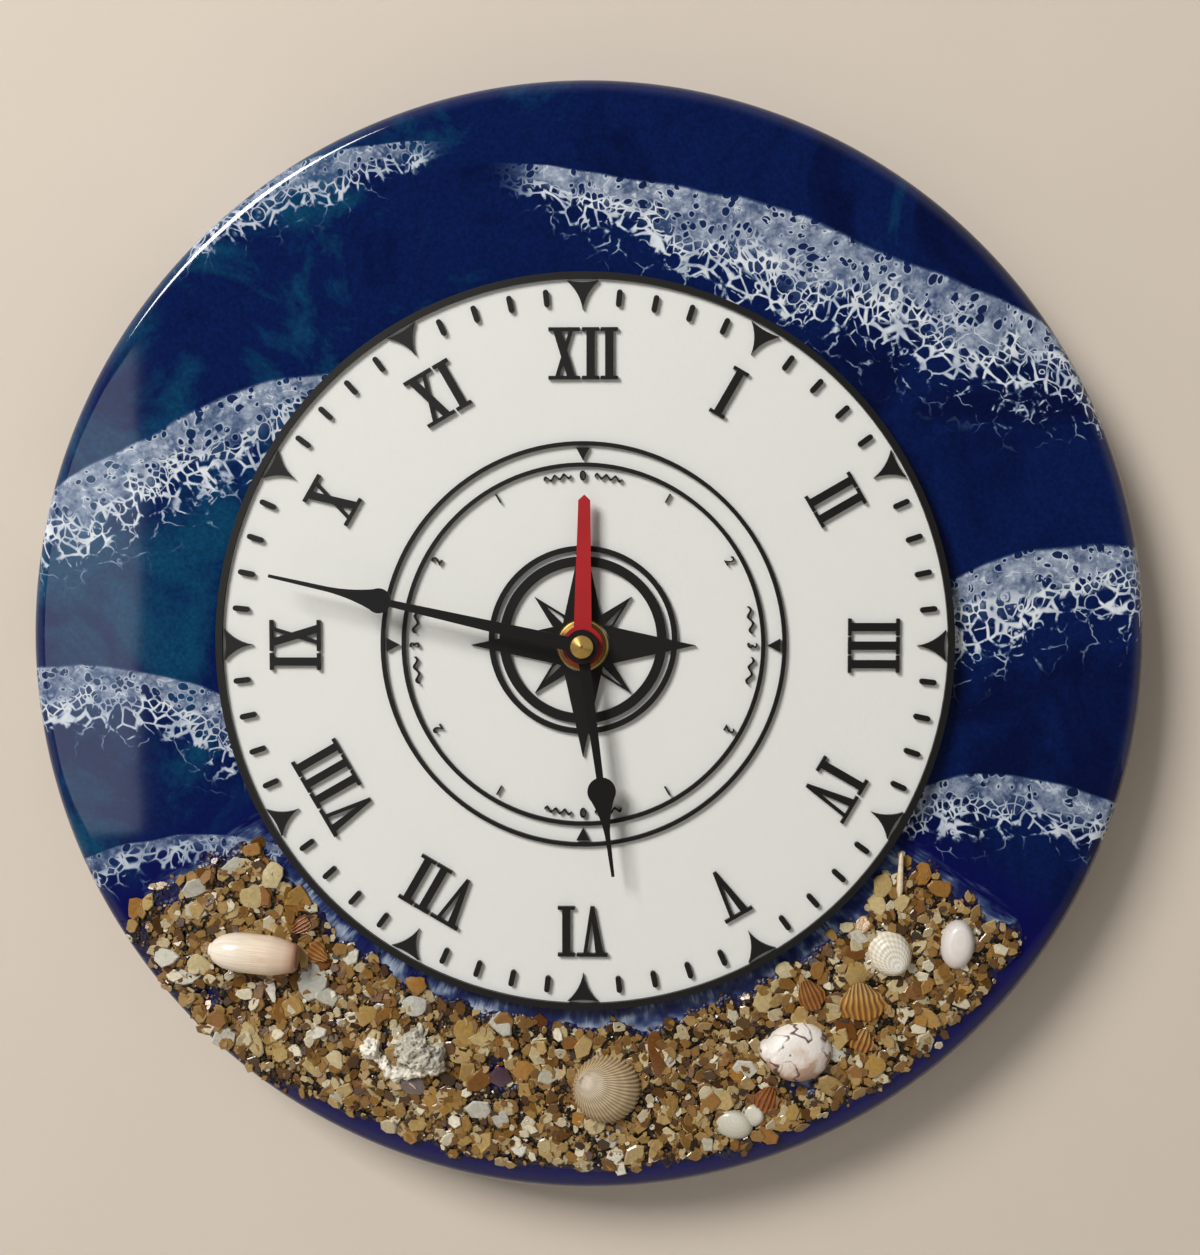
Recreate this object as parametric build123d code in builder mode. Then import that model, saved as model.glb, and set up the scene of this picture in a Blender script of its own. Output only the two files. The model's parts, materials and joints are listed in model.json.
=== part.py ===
from build123d import *
import math
import os

os.makedirs("parts", exist_ok=True)

# A resin wall clock that tells the time and the tide.
# Millimetres, +X right, +Z up. The dial faces -Y and the back lies on the wall at y = 0.
# The origin is where the hands' axis meets the wall, and depth is counted from the wall outward.

# Board, resin and beach; the beach's edges are shares of the board's radius
board_radius = 151.5
web_thickness = 2.4
resin_thickness = 3.0
resin_side_coat = 1.0
resin_edge_radius = 4.5
resin_back_stop = 0.8
beach_inner_gap = 0.04 * board_radius
beach_outer_gap = 0.043 * board_radius
beach_right_angle = 125.0
beach_left_angle = 238.0
beach_end_bulge = 0.033 * board_radius
sand_thickness = 1.2

# Dial, a share of the board, and its raised marks, in shares of the dial's radius
dial_radius = 0.66 * board_radius
dial_thickness = 3.0
dial_rim_width = 1.8
relief_height = 1.2
tick_length = 0.0455 * dial_radius
tick_width = 0.015 * dial_radius
tick_radius = 0.934 * dial_radius
hour_marker_gap = 0.6
hour_marker_base = 0.085 * dial_radius
hour_marker_height = 0.077 * dial_radius
hour_marker_hollow = 0.009 * dial_radius
numeral_foot_radius = 0.714 * dial_radius
numeral_height = 0.138 * dial_radius
numeral_thick_stroke = 0.022 * dial_radius
numeral_thin_stroke = 0.01 * dial_radius
numeral_serif = 0.009 * dial_radius
numeral_gap = 0.004 * dial_radius
narrow_glyph_width = 0.046 * dial_radius
wide_glyph_width = 0.088 * dial_radius
tide_ring_outer = 0.549 * dial_radius
tide_ring_inner = 0.492 * dial_radius
tide_ring_line = 0.011 * dial_radius
tide_pointer_base = 0.036 * dial_radius
tide_pointer_height = 0.034 * dial_radius
compass_rise = 0.014 * dial_radius
compass_outer_ring = 0.255 * dial_radius
compass_outer_line = 0.015 * dial_radius
compass_inner_ring = 0.226 * dial_radius
compass_inner_line = 0.026 * dial_radius
compass_tip = 0.304 * dial_radius
compass_waist = 0.055 * dial_radius
compass_diagonal_tip = 0.185 * dial_radius
compass_diagonal_half = 0.022 * dial_radius
compass_diagonal_shoulder = 0.095 * dial_radius
compass_outline = 0.005 * dial_radius

# Movement case, its pocket in the board and its fastening
back_gap = 0.3
case_wall = 1.2
case_corner = 4.0
cover_thickness = 1.2
pocket_clearance = 2.0
gasket_thickness = 1.0
gasket_radius = 13.0
bushing_radius = 4.5
bushing_flange_radius = 6.5
bushing_flange = 0.8
bushing_end_gap = 0.4
hole_clearance = 0.2
press_gap = 0.02
dial_nut_radius = 6.85
dial_nut_height = 2.2
dial_nut_margin = 0.35

# Battery bay
battery_radius = 7.1
battery_length = 50.5
battery_nub_radius = 2.7
battery_nub_length = 1.3
bay_play = 0.5
contact_room = 3.1
battery_recess = 0.2
bay_floor = 0.8
bay_partition = 1.0
contact_thickness = 0.4
contact_width = 7.0
contact_reach = 9.0
battery_play = 0.1

# Shafts, from the inside out
running_fit = 0.05
minute_arbor_radius = 1.5
hour_tube_radius = 2.4
tide_tube_radius = 3.2
arbor_radius = 0.5
pivot_depth = 0.7
pin_radius = 1.0

# Gear teeth
pressure_angle = 28.0
addendum = 0.8
dedendum = 1.05
tooth_play = 0.06

# Train from the stepping rotor to the centre wheel
train_pinion_teeth = 8
step_teeth = 40
second_teeth = 48
third_teeth = 60
centre_teeth = 64
rotor_step_distance = 4.8
step_second_distance = 5.6
second_third_distance = 7.48
third_centre_distance = 9.0
third_bearing = 60.0
second_bearing = 20.0
step_bearing = -20.0
rotor_bearing = -90.0
train_wheel_thickness = 0.6
train_pinion_length = 1.0
train_first = 0.6
train_layer = 1.25
train_top_room = 0.5
middle_plate_thickness = 0.8
plate_edge_gap = 0.3

# Motion work: hour wheel, tide wheel and setting gear
cannon_teeth = 10
motion_teeth = 36
motion_pinion_teeth = 12
hour_teeth = 40
idler_teeth = 18
idler_pinion_teeth = 20
tide_teeth = 46
setting_teeth = 14
motion_distance = 11.7
idler_distance = 13.05
motion_bearing = -60.0
idler_bearing = 105.0
setting_bearing = -55.0
motion_wheel_thickness = 0.9
motion_first = 0.4
motion_layer = 1.6
setting_shaft_radius = 1.2
knob_radius = 4.0
knob_thickness = 1.6
knob_recess = 0.2
knob_gap = 0.5
cup_wall = 0.8

# Stepping motor and circuit
rotor_magnet_radius = 2.2
rotor_magnet_height = 1.2
rotor_air_gap = 0.5
stator_thickness = 0.8
stator_left = -17.0
stator_right = 7.0
stator_low = 13.0
stator_neck = 20.4
stator_leg = 3.4
coil_line = 23.6
coil_radius = 2.3
coil_flange_radius = 2.45
coil_flange = 0.7
coil_end_gap = 0.3
coil_cover_gap = 0.1
coil_wall_gap = 0.75
coil_tube_wall = 0.3
core_width = 1.4
circuit_left = -21.0
circuit_right = -9.0
circuit_low = -9.8
circuit_high = 5.0
circuit_thickness = 1.0
circuit_standoff = 1.5
chip_radius = 3.0
chip_height = 1.0
crystal_radius = 1.0
crystal_length = 6.0
post_radius = 1.6
post_inset = 3.0
standoff_radius = 1.2
standoff_inset = 2.0

# Hands, in the order in which they stack up; their outlines are shares of the dial's radius
hand_thickness = 0.5
tide_hand_rest = 0.75
hour_hand_rest = 172.4
minute_hand_rest = 282.7
tide_hand_gap = 1.0
hand_spacing = 1.7
tube_lip = 0.3
tide_hand_length = 0.405 * dial_radius
tide_hand_root = 0.05 * dial_radius
tide_hand_end = 0.032 * dial_radius
tide_hand_point = 0.015 * dial_radius
tide_hub_radius = 5.5
hour_hand_length = 0.626 * dial_radius
hour_head_radius = 0.0383 * dial_radius
hour_head_at = 0.394 * dial_radius
hour_neck_at = 0.531 * dial_radius
hour_shaft_root = 0.032 * dial_radius
minute_hand_length = 0.857 * dial_radius
minute_head_radius = 0.0335 * dial_radius
minute_head_at = 0.555 * dial_radius
minute_neck_at = 0.708 * dial_radius
minute_shaft_root = 0.04 * dial_radius
hand_hub_radius = 4.5
hand_shaft_end = 0.0175 * dial_radius
hand_neck = 0.013 * dial_radius
hand_tip = 0.0085 * dial_radius
hand_shoulder_angle = 35.0
hand_hollow = 0.26
collet_wall = 1.0
collet_height = 0.7
arbor_thread_radius = 1.2
arbor_thread_length = 2.6
cap_nut_radius = 3.0
cap_nut_rim = 1.0
cap_nut_cone = 2.5
cap_nut_tip = 0.5

# Hanger let into the back
hanger_inset = 43.5
hanger_height = board_radius - hanger_inset
hanger_length = 46.0
hanger_width = 16.0
hanger_thickness = 1.4
hanger_clearance = 0.2
keyhole_entry_radius = 4.5
keyhole_slot_width = 4.6
keyhole_rise = 8.0
keyhole_room = 1.2
keyhole_depth = 8.0
hanger_screw_spacing = 33.0
screw_head_radius = 3.2
screw_shank_radius = 1.7
screw_length = 12.0

# Case: as deep as the deeper of its battery and its works, and as wide as the wider
bay_length = battery_length + contact_room
works_reach = coil_line + coil_flange_radius + coil_wall_gap
case_inner = max(bay_length / 2, works_reach)
case_side = 2 * (case_inner + case_wall)
bay_height = 2 * (battery_radius + bay_play)
train_room = train_first + 4 * train_layer + train_top_room
motion_room = motion_first + 3 * motion_layer + bushing_flange
works_stack = cover_thickness + train_room + middle_plate_thickness + motion_room + case_wall
battery_stack = battery_recess + 2 * battery_radius + battery_play + bay_floor
case_depth = max(works_stack, battery_stack)

# Depths from the wall, each from the one behind it
cover_back = back_gap
cover_inner = cover_back + cover_thickness
plate_back = cover_inner + train_room
plate_front = plate_back + middle_plate_thickness
case_front = cover_back + case_depth
works_front = case_front - case_wall
pocket_floor = case_front + gasket_thickness
board_front = pocket_floor + web_thickness
resin_front = board_front + resin_thickness
sand_front = resin_front + sand_thickness
dial_front = resin_front + dial_thickness
bushing_front = dial_front + dial_nut_height + bushing_end_gap
tide_hand_back = bushing_front + tide_hand_gap
tide_tube_front = tide_hand_back + hand_thickness + tube_lip
hour_hand_back = tide_hand_back + hand_thickness + hand_spacing
hour_tube_front = hour_hand_back + hand_thickness + tube_lip
minute_hand_back = hour_hand_back + hand_thickness + hand_spacing
minute_hand_front = minute_hand_back + hand_thickness

# Radii that follow from the shafts and their fits
hour_bore = minute_arbor_radius + running_fit
tide_bore = hour_tube_radius + running_fit
bushing_bore = tide_tube_radius + running_fit
bushing_hole = bushing_radius + hole_clearance
resin_radius = board_radius + resin_side_coat
beach_inner_radius = dial_radius + beach_inner_gap
beach_outer_radius = resin_radius - beach_outer_gap
beach_width = beach_outer_radius - beach_inner_radius
bay_low = -case_inner
bay_top = bay_low + bay_height
works_low = bay_top + bay_partition


def level(depth, x=0.0, z=0.0, turn=0.0):
    """Sketch plane at a depth, facing the viewer, with its up direction turned clockwise."""
    angle = math.radians(turn)
    across = (math.cos(angle), 0, -math.sin(angle))
    return Plane(origin=(x, -depth, z), x_dir=across, z_dir=(0, -1, 0))


def clock_point(radius, bearing, start=(0.0, 0.0)):
    """Point at a radius and a clockwise bearing from twelve, around a start point."""
    angle = math.radians(bearing)
    return start[0] + radius * math.sin(angle), start[1] + radius * math.cos(angle)


def involute(angle):
    """Involute function of an angle in radians."""
    return math.tan(angle) - angle


def gear_points(teeth, module):
    """Outline of a gear whose flanks are chords of an involute."""
    pressure = math.radians(pressure_angle)
    pitch = teeth * module / 2
    base = pitch * math.cos(pressure)
    root = pitch - dedendum * module
    tip = pitch + addendum * module

    def half_angle(radius):
        flank = math.acos(min(1.0, base / radius))
        return (math.pi - tooth_play / module) / (2 * teeth) + involute(pressure) - involute(flank)

    flank_radii = [root, base, tip] if base > root else [root, tip]
    flank_line = [(radius, half_angle(radius)) for radius in flank_radii]
    points = []
    for tooth in range(teeth):
        middle = 2 * math.pi * tooth / teeth
        rising = [(radius, middle - half) for radius, half in flank_line]
        falling = [(radius, middle + half) for radius, half in reversed(flank_line)]
        points += [(radius * math.sin(a), radius * math.cos(a)) for radius, a in rising + falling]
    return points


def gear_module(first_teeth, second_teeth_count, distance):
    """Module that lets two gears mesh at a centre distance."""
    return 2 * distance / (first_teeth + second_teeth_count)


def mesh_turn(first_turn, first_teeth, second_teeth_count, bearing):
    """Turn of a gear that puts one of its gaps on the tooth of the gear before it."""
    tooth_share = (bearing - first_turn) * first_teeth / 360
    return bearing + 180 - (0.5 - tooth_share) * 360 / second_teeth_count


# Arbor places and the turn at which each gear is in mesh
third_place = clock_point(third_centre_distance, third_bearing)
second_place = clock_point(second_third_distance, second_bearing, third_place)
step_place = clock_point(step_second_distance, step_bearing, second_place)
rotor_place = clock_point(rotor_step_distance, rotor_bearing, step_place)
motion_place = clock_point(motion_distance, motion_bearing)
idler_place = clock_point(idler_distance, idler_bearing)
rotor_module = gear_module(train_pinion_teeth, step_teeth, rotor_step_distance)
step_module = gear_module(train_pinion_teeth, second_teeth, step_second_distance)
second_module = gear_module(train_pinion_teeth, third_teeth, second_third_distance)
third_module = gear_module(train_pinion_teeth, centre_teeth, third_centre_distance)
cannon_module = gear_module(cannon_teeth, motion_teeth, motion_distance)
hour_module = gear_module(motion_pinion_teeth, hour_teeth, motion_distance)
idler_module = gear_module(hour_teeth, idler_teeth, idler_distance)
tide_module = gear_module(idler_pinion_teeth, tide_teeth, idler_distance)
setting_distance = cannon_module * (motion_teeth + setting_teeth) / 2
setting_place = clock_point(setting_distance, setting_bearing, motion_place)
rotor_turn = 0.0
step_turn = mesh_turn(rotor_turn, train_pinion_teeth, step_teeth, rotor_bearing + 180)
second_turn = mesh_turn(step_turn, train_pinion_teeth, second_teeth, step_bearing + 180)
third_turn = mesh_turn(second_turn, train_pinion_teeth, third_teeth, second_bearing + 180)
centre_turn = mesh_turn(third_turn, train_pinion_teeth, centre_teeth, third_bearing + 180)
minute_turn = 0.0
motion_turn = mesh_turn(minute_turn, cannon_teeth, motion_teeth, motion_bearing)
hour_turn = mesh_turn(motion_turn, motion_pinion_teeth, hour_teeth, motion_bearing + 180)
idler_turn = mesh_turn(hour_turn, hour_teeth, idler_teeth, idler_bearing)
tide_turn = mesh_turn(idler_turn, idler_pinion_teeth, tide_teeth, idler_bearing + 180)
setting_turn = mesh_turn(motion_turn, motion_teeth, setting_teeth, setting_bearing)

# Board with the movement pocket, the hanger's rebate and the holes for its screws
pocket_side = case_side + 2 * pocket_clearance
pocket_corner = case_corner + pocket_clearance
rebate_length = hanger_length + 2 * hanger_clearance
rebate_width = hanger_width + 2 * hanger_clearance
keyhole_width = 2 * (keyhole_entry_radius + keyhole_room)
keyhole_length = keyhole_width + keyhole_rise
screw_offset = hanger_screw_spacing / 2
with BuildPart() as board:
    with BuildSketch(level(0)):
        Circle(board_radius)
    extrude(amount=board_front)
    with BuildSketch(level(0)):
        RectangleRounded(pocket_side, pocket_side, pocket_corner)
    extrude(amount=pocket_floor, mode=Mode.SUBTRACT)
    with BuildSketch(level(pocket_floor)):
        Circle(bushing_hole)
    extrude(amount=web_thickness, mode=Mode.SUBTRACT)
    with BuildSketch(level(0, 0, hanger_height)):
        SlotOverall(rebate_length, rebate_width, rotation=90)
    extrude(amount=hanger_thickness, mode=Mode.SUBTRACT)
    with BuildSketch(level(0, 0, hanger_height)):
        SlotOverall(keyhole_length, keyhole_width, rotation=90)
    extrude(amount=hanger_thickness + keyhole_depth, mode=Mode.SUBTRACT)
    with BuildSketch(level(0, 0, hanger_height)):
        with Locations((0, -screw_offset), (0, screw_offset)):
            Circle(screw_shank_radius)
    extrude(amount=screw_length, mode=Mode.SUBTRACT)
board.part.label = "board"
export_step(board.part, "parts/board.step")

# Resin poured over the board's face and run down its edge
profile_plane = Plane(origin=(0, 0, 0), x_dir=(1, 0, 0), z_dir=(0, 0, 1))
with BuildPart() as resin_coat:
    with BuildSketch(profile_plane):
        with BuildLine():
            Polyline(
                (bushing_hole, -board_front),
                (board_radius, -board_front),
                (board_radius, -resin_back_stop),
                (resin_radius, -resin_back_stop),
                (resin_radius, resin_edge_radius - resin_front),
            )
            RadiusArc(
                (resin_radius, resin_edge_radius - resin_front),
                (resin_radius - resin_edge_radius, -resin_front),
                resin_edge_radius,
            )
            Polyline(
                (resin_radius - resin_edge_radius, -resin_front),
                (bushing_hole, -resin_front),
                (bushing_hole, -board_front),
            )
        make_face()
    revolve(axis=Axis.Y)
resin_coat.part.label = "resin_coat"
export_step(resin_coat.part, "parts/resin_coat.step")

# Crescent of shell sand set on the resin below the dial
beach_start = 90 - beach_right_angle
beach_sweep = beach_right_angle - beach_left_angle
beach_middle_radius = (beach_inner_radius + beach_outer_radius) / 2
right_bulge = beach_right_angle - math.degrees(beach_end_bulge / beach_middle_radius)
left_bulge = beach_left_angle + math.degrees(beach_end_bulge / beach_middle_radius)
with BuildPart() as sand_bed:
    with BuildSketch(level(resin_front)):
        with BuildLine():
            outer_shore = CenterArc((0, 0), beach_outer_radius, beach_start, beach_sweep)
            inner_shore = CenterArc((0, 0), beach_inner_radius, beach_start, beach_sweep)
            right_peak = clock_point(beach_middle_radius, right_bulge)
            left_peak = clock_point(beach_middle_radius, left_bulge)
            ThreePointArc(outer_shore @ 0, right_peak, inner_shore @ 0)
            ThreePointArc(outer_shore @ 1, left_peak, inner_shore @ 1)
        make_face()
    extrude(amount=sand_thickness)
sand_bed.part.label = "sand_bed"
export_step(sand_bed.part, "parts/sand_bed.step")


def beach_point(bearing, share):
    """Place on the beach by bearing and by share of its width, nought at the dial's side."""
    return clock_point(beach_inner_radius + share * beach_width, bearing)


def valve_sections(place, heading, size, ribs, rib_depth, beak):
    """Stacked outlines of one shell valve, ribbed along its growth, with its beak toward the heading."""
    length, width, height = size
    sides = 2 * ribs if rib_depth else ribs
    sections = []
    for rise in shell_rises:
        scale = math.cos(math.radians(90 * rise)) ** shell_fullness
        shift = beak * length * (1 - scale)
        points = []
        for side in range(sides):
            angle = 2 * math.pi * side / sides
            ripple = 1 - rib_depth * (side % 2)
            along = length / 2 * scale * ripple * math.cos(angle)
            across = width / 2 * scale * ripple * math.sin(angle)
            points.append((across, along + shift))
        depth = sand_front + height * math.sin(math.radians(90 * rise))
        with BuildSketch(level(depth, *place, turn=heading)) as section:
            Polygon(*points, align=None)
        sections.append(section.sketch.face())
    return sections


# Single valves: place and heading, then length, width and height in shares of the beach's width
shell_rises = (0.0, 0.25, 0.5, 0.75, 0.92)
shell_fullness = 0.8
cockle_place = beach_point(177.0, 0.42)
cockle_heading = 293.0
cockle_size = (0.46 * beach_width, 0.5 * beach_width, 0.15 * beach_width)
cockle_ribs = 22
cockle_rib_depth = 0.05
cockle_beak = 0.32
with BuildPart() as cockle_shell:
    sections = valve_sections(
        cockle_place, cockle_heading, cockle_size, cockle_ribs, cockle_rib_depth, cockle_beak
    )
    loft(sections, ruled=True)
cockle_shell.part.label = "cockle_shell"
export_step(cockle_shell.part, "parts/cockle_shell.step")

white_cockle_place = beach_point(135.2, 0.32)
white_cockle_heading = 148.0
white_cockle_size = (0.3125 * beach_width, 0.2925 * beach_width, 0.105 * beach_width)
white_cockle_ribs = 16
white_cockle_rib_depth = 0.04
white_cockle_beak = 0.3
with BuildPart() as white_cockle:
    sections = valve_sections(
        white_cockle_place,
        white_cockle_heading,
        white_cockle_size,
        white_cockle_ribs,
        white_cockle_rib_depth,
        white_cockle_beak,
    )
    loft(sections, ruled=True)
white_cockle.part.label = "white_cockle"
export_step(white_cockle.part, "parts/white_cockle.step")

# Smooth valves, without ribs
smooth = 0.0
cracked_clam_place = beach_point(152.2, 0.51)
cracked_clam_heading = 330.0
cracked_clam_size = (0.4075 * beach_width, 0.4875 * beach_width, 0.14 * beach_width)
cracked_clam_sides = 24
cracked_clam_beak = 0.24
with BuildPart() as cracked_clam:
    sections = valve_sections(
        cracked_clam_place,
        cracked_clam_heading,
        cracked_clam_size,
        cracked_clam_sides,
        smooth,
        cracked_clam_beak,
    )
    loft(sections, ruled=True)
cracked_clam.part.label = "cracked_clam"
export_step(cracked_clam.part, "parts/cracked_clam.step")

oval_clam_place = beach_point(128.7, 0.62)
oval_clam_heading = 5.0
oval_clam_size = (0.34 * beach_width, 0.23 * beach_width, 0.1 * beach_width)
oval_clam_sides = 18
oval_clam_beak = 0.2
with BuildPart() as oval_clam:
    sections = valve_sections(
        oval_clam_place, oval_clam_heading, oval_clam_size, oval_clam_sides, smooth, oval_clam_beak
    )
    loft(sections, ruled=True)
oval_clam.part.label = "oval_clam"
export_step(oval_clam.part, "parts/oval_clam.step")

small_bivalve_place = beach_point(161.8, 0.82)
small_bivalve_heading = 20.0
small_bivalve_size = (0.19 * beach_width, 0.325 * beach_width, 0.075 * beach_width)
small_bivalve_sides = 18
small_bivalve_beak = 0.15
with BuildPart() as small_bivalve:
    sections = valve_sections(
        small_bivalve_place,
        small_bivalve_heading,
        small_bivalve_size,
        small_bivalve_sides,
        smooth,
        small_bivalve_beak,
    )
    loft(sections, ruled=True)
small_bivalve.part.label = "small_bivalve"
export_step(small_bivalve.part, "parts/small_bivalve.step")

# Olive shell: a barrel with a short spire, lying on its side and sunk a little in the sand
olive_place = beach_point(226.8, 0.45)
olive_heading = 96.0
olive_length = 0.61 * beach_width
olive_radius = 0.135 * beach_width
olive_sink = 0.35
olive_foot_width = 0.5
olive_belly_width = 0.93
olive_belly_at = -0.2
olive_shoulder_at = 0.12
olive_spire_width = 0.62
olive_spire_at = 0.36
olive_mouth = 0.035 * beach_width
olive_mouth_length = 0.6
olive_mouth_side = 0.45
olive_mouth_at = -0.12
olive_mouth_rise = 0.55
olive_mouth_turn = 93.0
olive_axis_depth = sand_front + olive_radius * (1 - olive_sink)
olive_mouth_depth = olive_axis_depth + olive_radius * olive_mouth_rise
olive_spine = level(olive_axis_depth, *olive_place, turn=olive_heading)
with BuildPart() as olive_shell:
    with BuildSketch(olive_spine):
        with BuildLine():
            barrel_foot = (0, -olive_length / 2)
            foot_edge = (olive_radius * olive_foot_width, -olive_length / 2)
            barrel_belly = (olive_radius * olive_belly_width, olive_length * olive_belly_at)
            barrel_shoulder = (olive_radius, olive_length * olive_shoulder_at)
            spire_foot = (olive_radius * olive_spire_width, olive_length * olive_spire_at)
            spire_tip = (0, olive_length / 2)
            Line(barrel_foot, foot_edge)
            ThreePointArc(foot_edge, barrel_belly, barrel_shoulder)
            Line(barrel_shoulder, spire_foot)
            Line(spire_foot, spire_tip)
            Line(spire_tip, barrel_foot)
        make_face()
    revolve(axis=Axis(olive_spine.origin, olive_spine.y_dir))
    split(bisect_by=level(sand_front), keep=Keep.TOP)
    with BuildSketch(level(olive_mouth_depth, *olive_place, turn=olive_heading)):
        with Locations((olive_radius * olive_mouth_side, olive_length * olive_mouth_at)):
            SlotOverall(olive_length * olive_mouth_length, olive_mouth, rotation=olive_mouth_turn)
    extrude(amount=olive_radius, mode=Mode.SUBTRACT)
olive_shell.part.label = "olive_shell"
export_step(olive_shell.part, "parts/olive_shell.step")

# Worn lump of coral: lobed outlines that twist and shrink toward the top
coral_place = beach_point(203.7, 0.44)
coral_turn = 12.0
coral_length = 0.575 * beach_width
coral_width = 0.3875 * beach_width
coral_height = 0.1625 * beach_width
coral_sides = 14
coral_top_angle = 80.0
coral_fullness = 0.5
coral_lobes = 3
coral_lobe_depth = 0.16
coral_lobe_twist = 4.0
coral_knobs = 5
coral_knob_depth = 0.08
coral_knob_twist = -3.0
coral_sections = []
for rise in shell_rises:
    scale = math.cos(math.radians(coral_top_angle * rise)) ** coral_fullness
    outline = []
    for side in range(coral_sides):
        angle = 2 * math.pi * side / coral_sides
        lobe = coral_lobe_depth * math.sin(coral_lobes * angle + coral_lobe_twist * rise)
        knob = coral_knob_depth * math.sin(coral_knobs * angle + coral_knob_twist * rise)
        reach = scale * (1 + lobe + knob) / 2
        outline.append((coral_length * reach * math.cos(angle), coral_width * reach * math.sin(angle)))
    with BuildSketch(level(sand_front + coral_height * rise, *coral_place, turn=coral_turn)) as coral_section:
        Polygon(*outline, align=None)
    coral_sections.append(coral_section.sketch.face())
with BuildPart() as coral_lump:
    loft(coral_sections, ruled=True)
coral_lump.part.label = "coral_lump"
export_step(coral_lump.part, "parts/coral_lump.step")

# Slender sea-urchin spine near the right end of the beach
spine_place = beach_point(128.5, 0.1)
spine_length = 0.3 * beach_width
spine_root_radius = 0.024 * beach_width
spine_tip_radius = 0.015 * beach_width
spine_sides = 6
spine_flat_turn = 180 / spine_sides
spine_heading = 2.0
spine_direction = level(0, turn=spine_heading).y_dir
spine_axis_height = spine_root_radius * math.cos(math.pi / spine_sides)
spine_foot = level(sand_front + spine_axis_height, *spine_place)
spine_start = Plane(origin=spine_foot.origin, x_dir=(0, -1, 0), z_dir=spine_direction)
with BuildPart() as sea_spine:
    with BuildSketch(spine_start):
        RegularPolygon(spine_root_radius, spine_sides, rotation=spine_flat_turn)
    with BuildSketch(spine_start.offset(spine_length)):
        RegularPolygon(spine_tip_radius, spine_sides, rotation=spine_flat_turn)
    loft(ruled=True)
sea_spine.part.label = "sea_spine"
export_step(sea_spine.part, "parts/sea_spine.step")

# Broken fans of ribbed scallop: bearing, share, heading and length in shares of the beach's width
scallop_fragments_list = (
    (142.0, 0.44, 80.0, 0.325),
    (147.0, 0.20, 10.0, 0.215),
    (144.9, 0.66, 55.0, 0.1625),
    (158.0, 0.72, 200.0, 0.19),
    (220.6, 0.16, 300.0, 0.1375),
    (225.0, 0.10, 60.0, 0.125),
)
scallop_thickness = 0.0325 * beach_width
scallop_spread = 0.42
scallop_foot = 0.3
scallop_crown = 0.22
scallop_notch = 0.06
scallop_half_ribs = 3
with BuildPart() as scallop_fragments:
    for bearing, share, heading, length_share in scallop_fragments_list:
        with BuildSketch(level(sand_front, *beach_point(bearing, share), turn=heading)):
            length = length_share * beach_width
            half = length * scallop_spread
            fan = [(-half * scallop_foot, -length / 2), (half * scallop_foot, -length / 2)]
            for step in range(-scallop_half_ribs, scallop_half_ribs + 1):
                side = -step / scallop_half_ribs
                crown = length / 2 - length * scallop_crown * side**2
                notch = length * scallop_notch if (step + scallop_half_ribs) % 2 else 0.0
                fan.append((half * side, crown - notch))
            Polygon(*fan, align=None)
    extrude(amount=scallop_thickness)
scallop_fragments.part.label = "scallop_fragments"
export_step(scallop_fragments.part, "parts/scallop_fragments.step")

# Loose shell chips between the larger shells, kept clear of them and of each other
chip_count = 150
chip_small = 0.0375 * beach_width
chip_growth = 0.05 * beach_width
chip_thin = 0.0175 * beach_width
chip_spacing = 0.01 * beach_width
chip_shore = 0.06
chip_dent = 0.25
chip_thickening = 0.3
chip_fewest_sides = 4
chip_side_kinds = 3
golden_share = 0.618034
golden_angle = 137.508
spine_middle = clock_point(spine_length / 2, spine_heading, spine_place)
shell_keepouts = [
    (olive_place, math.hypot(olive_length / 2, olive_radius)),
    (coral_place, coral_length / 2 * (1 + coral_lobe_depth + coral_knob_depth)),
    (spine_middle, math.hypot(spine_length / 2, spine_root_radius)),
]
valve_places = (
    (cockle_place, cockle_size),
    (white_cockle_place, white_cockle_size),
    (cracked_clam_place, cracked_clam_size),
    (oval_clam_place, oval_clam_size),
    (small_bivalve_place, small_bivalve_size),
)
for place, size in valve_places:
    shell_keepouts.append((place, max(size) / 2))
for bearing, share, heading, length_share in scallop_fragments_list:
    fan_reach = length_share * beach_width * math.hypot(scallop_spread, 0.5)
    shell_keepouts.append((beach_point(bearing, share), fan_reach))
with BuildPart() as shell_chips:
    for chip in range(chip_count):
        bearing = beach_right_angle + (beach_left_angle - beach_right_angle) * (chip + 0.5) / chip_count
        share = chip_shore + (1 - 2 * chip_shore) * (chip * golden_share % 1)
        size = chip_small + chip_growth * (chip * golden_share * golden_share % 1)
        place = beach_point(bearing, share)
        if any(math.dist(place, spot) < reach + size + chip_spacing for spot, reach in shell_keepouts):
            continue
        shell_keepouts.append((place, size))
        sides = chip_fewest_sides + chip % chip_side_kinds
        corners = []
        for corner in range(sides):
            dent = 0.0 if corner * chip % 2 else chip_dent
            corners.append(clock_point(size * (1 - dent), 360 * corner / sides))
        with BuildSketch(level(sand_front, *place, turn=golden_angle * chip)):
            Polygon(*corners, align=None)
        extrude(amount=chip_thin + chip_thickening * size * (chip * golden_share % 1))
shell_chips.part.label = "shell_chips"
export_step(shell_chips.part, "parts/shell_chips.step")

# Printed dial plate and its raised black marks
rim_inner = dial_radius - dial_rim_width
with BuildPart() as dial_plate:
    with BuildSketch(level(resin_front)):
        Circle(rim_inner)
        Circle(bushing_hole, mode=Mode.SUBTRACT)
    extrude(amount=dial_thickness)
dial_plate.part.label = "dial_plate"
export_step(dial_plate.part, "parts/dial_plate.step")

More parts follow.
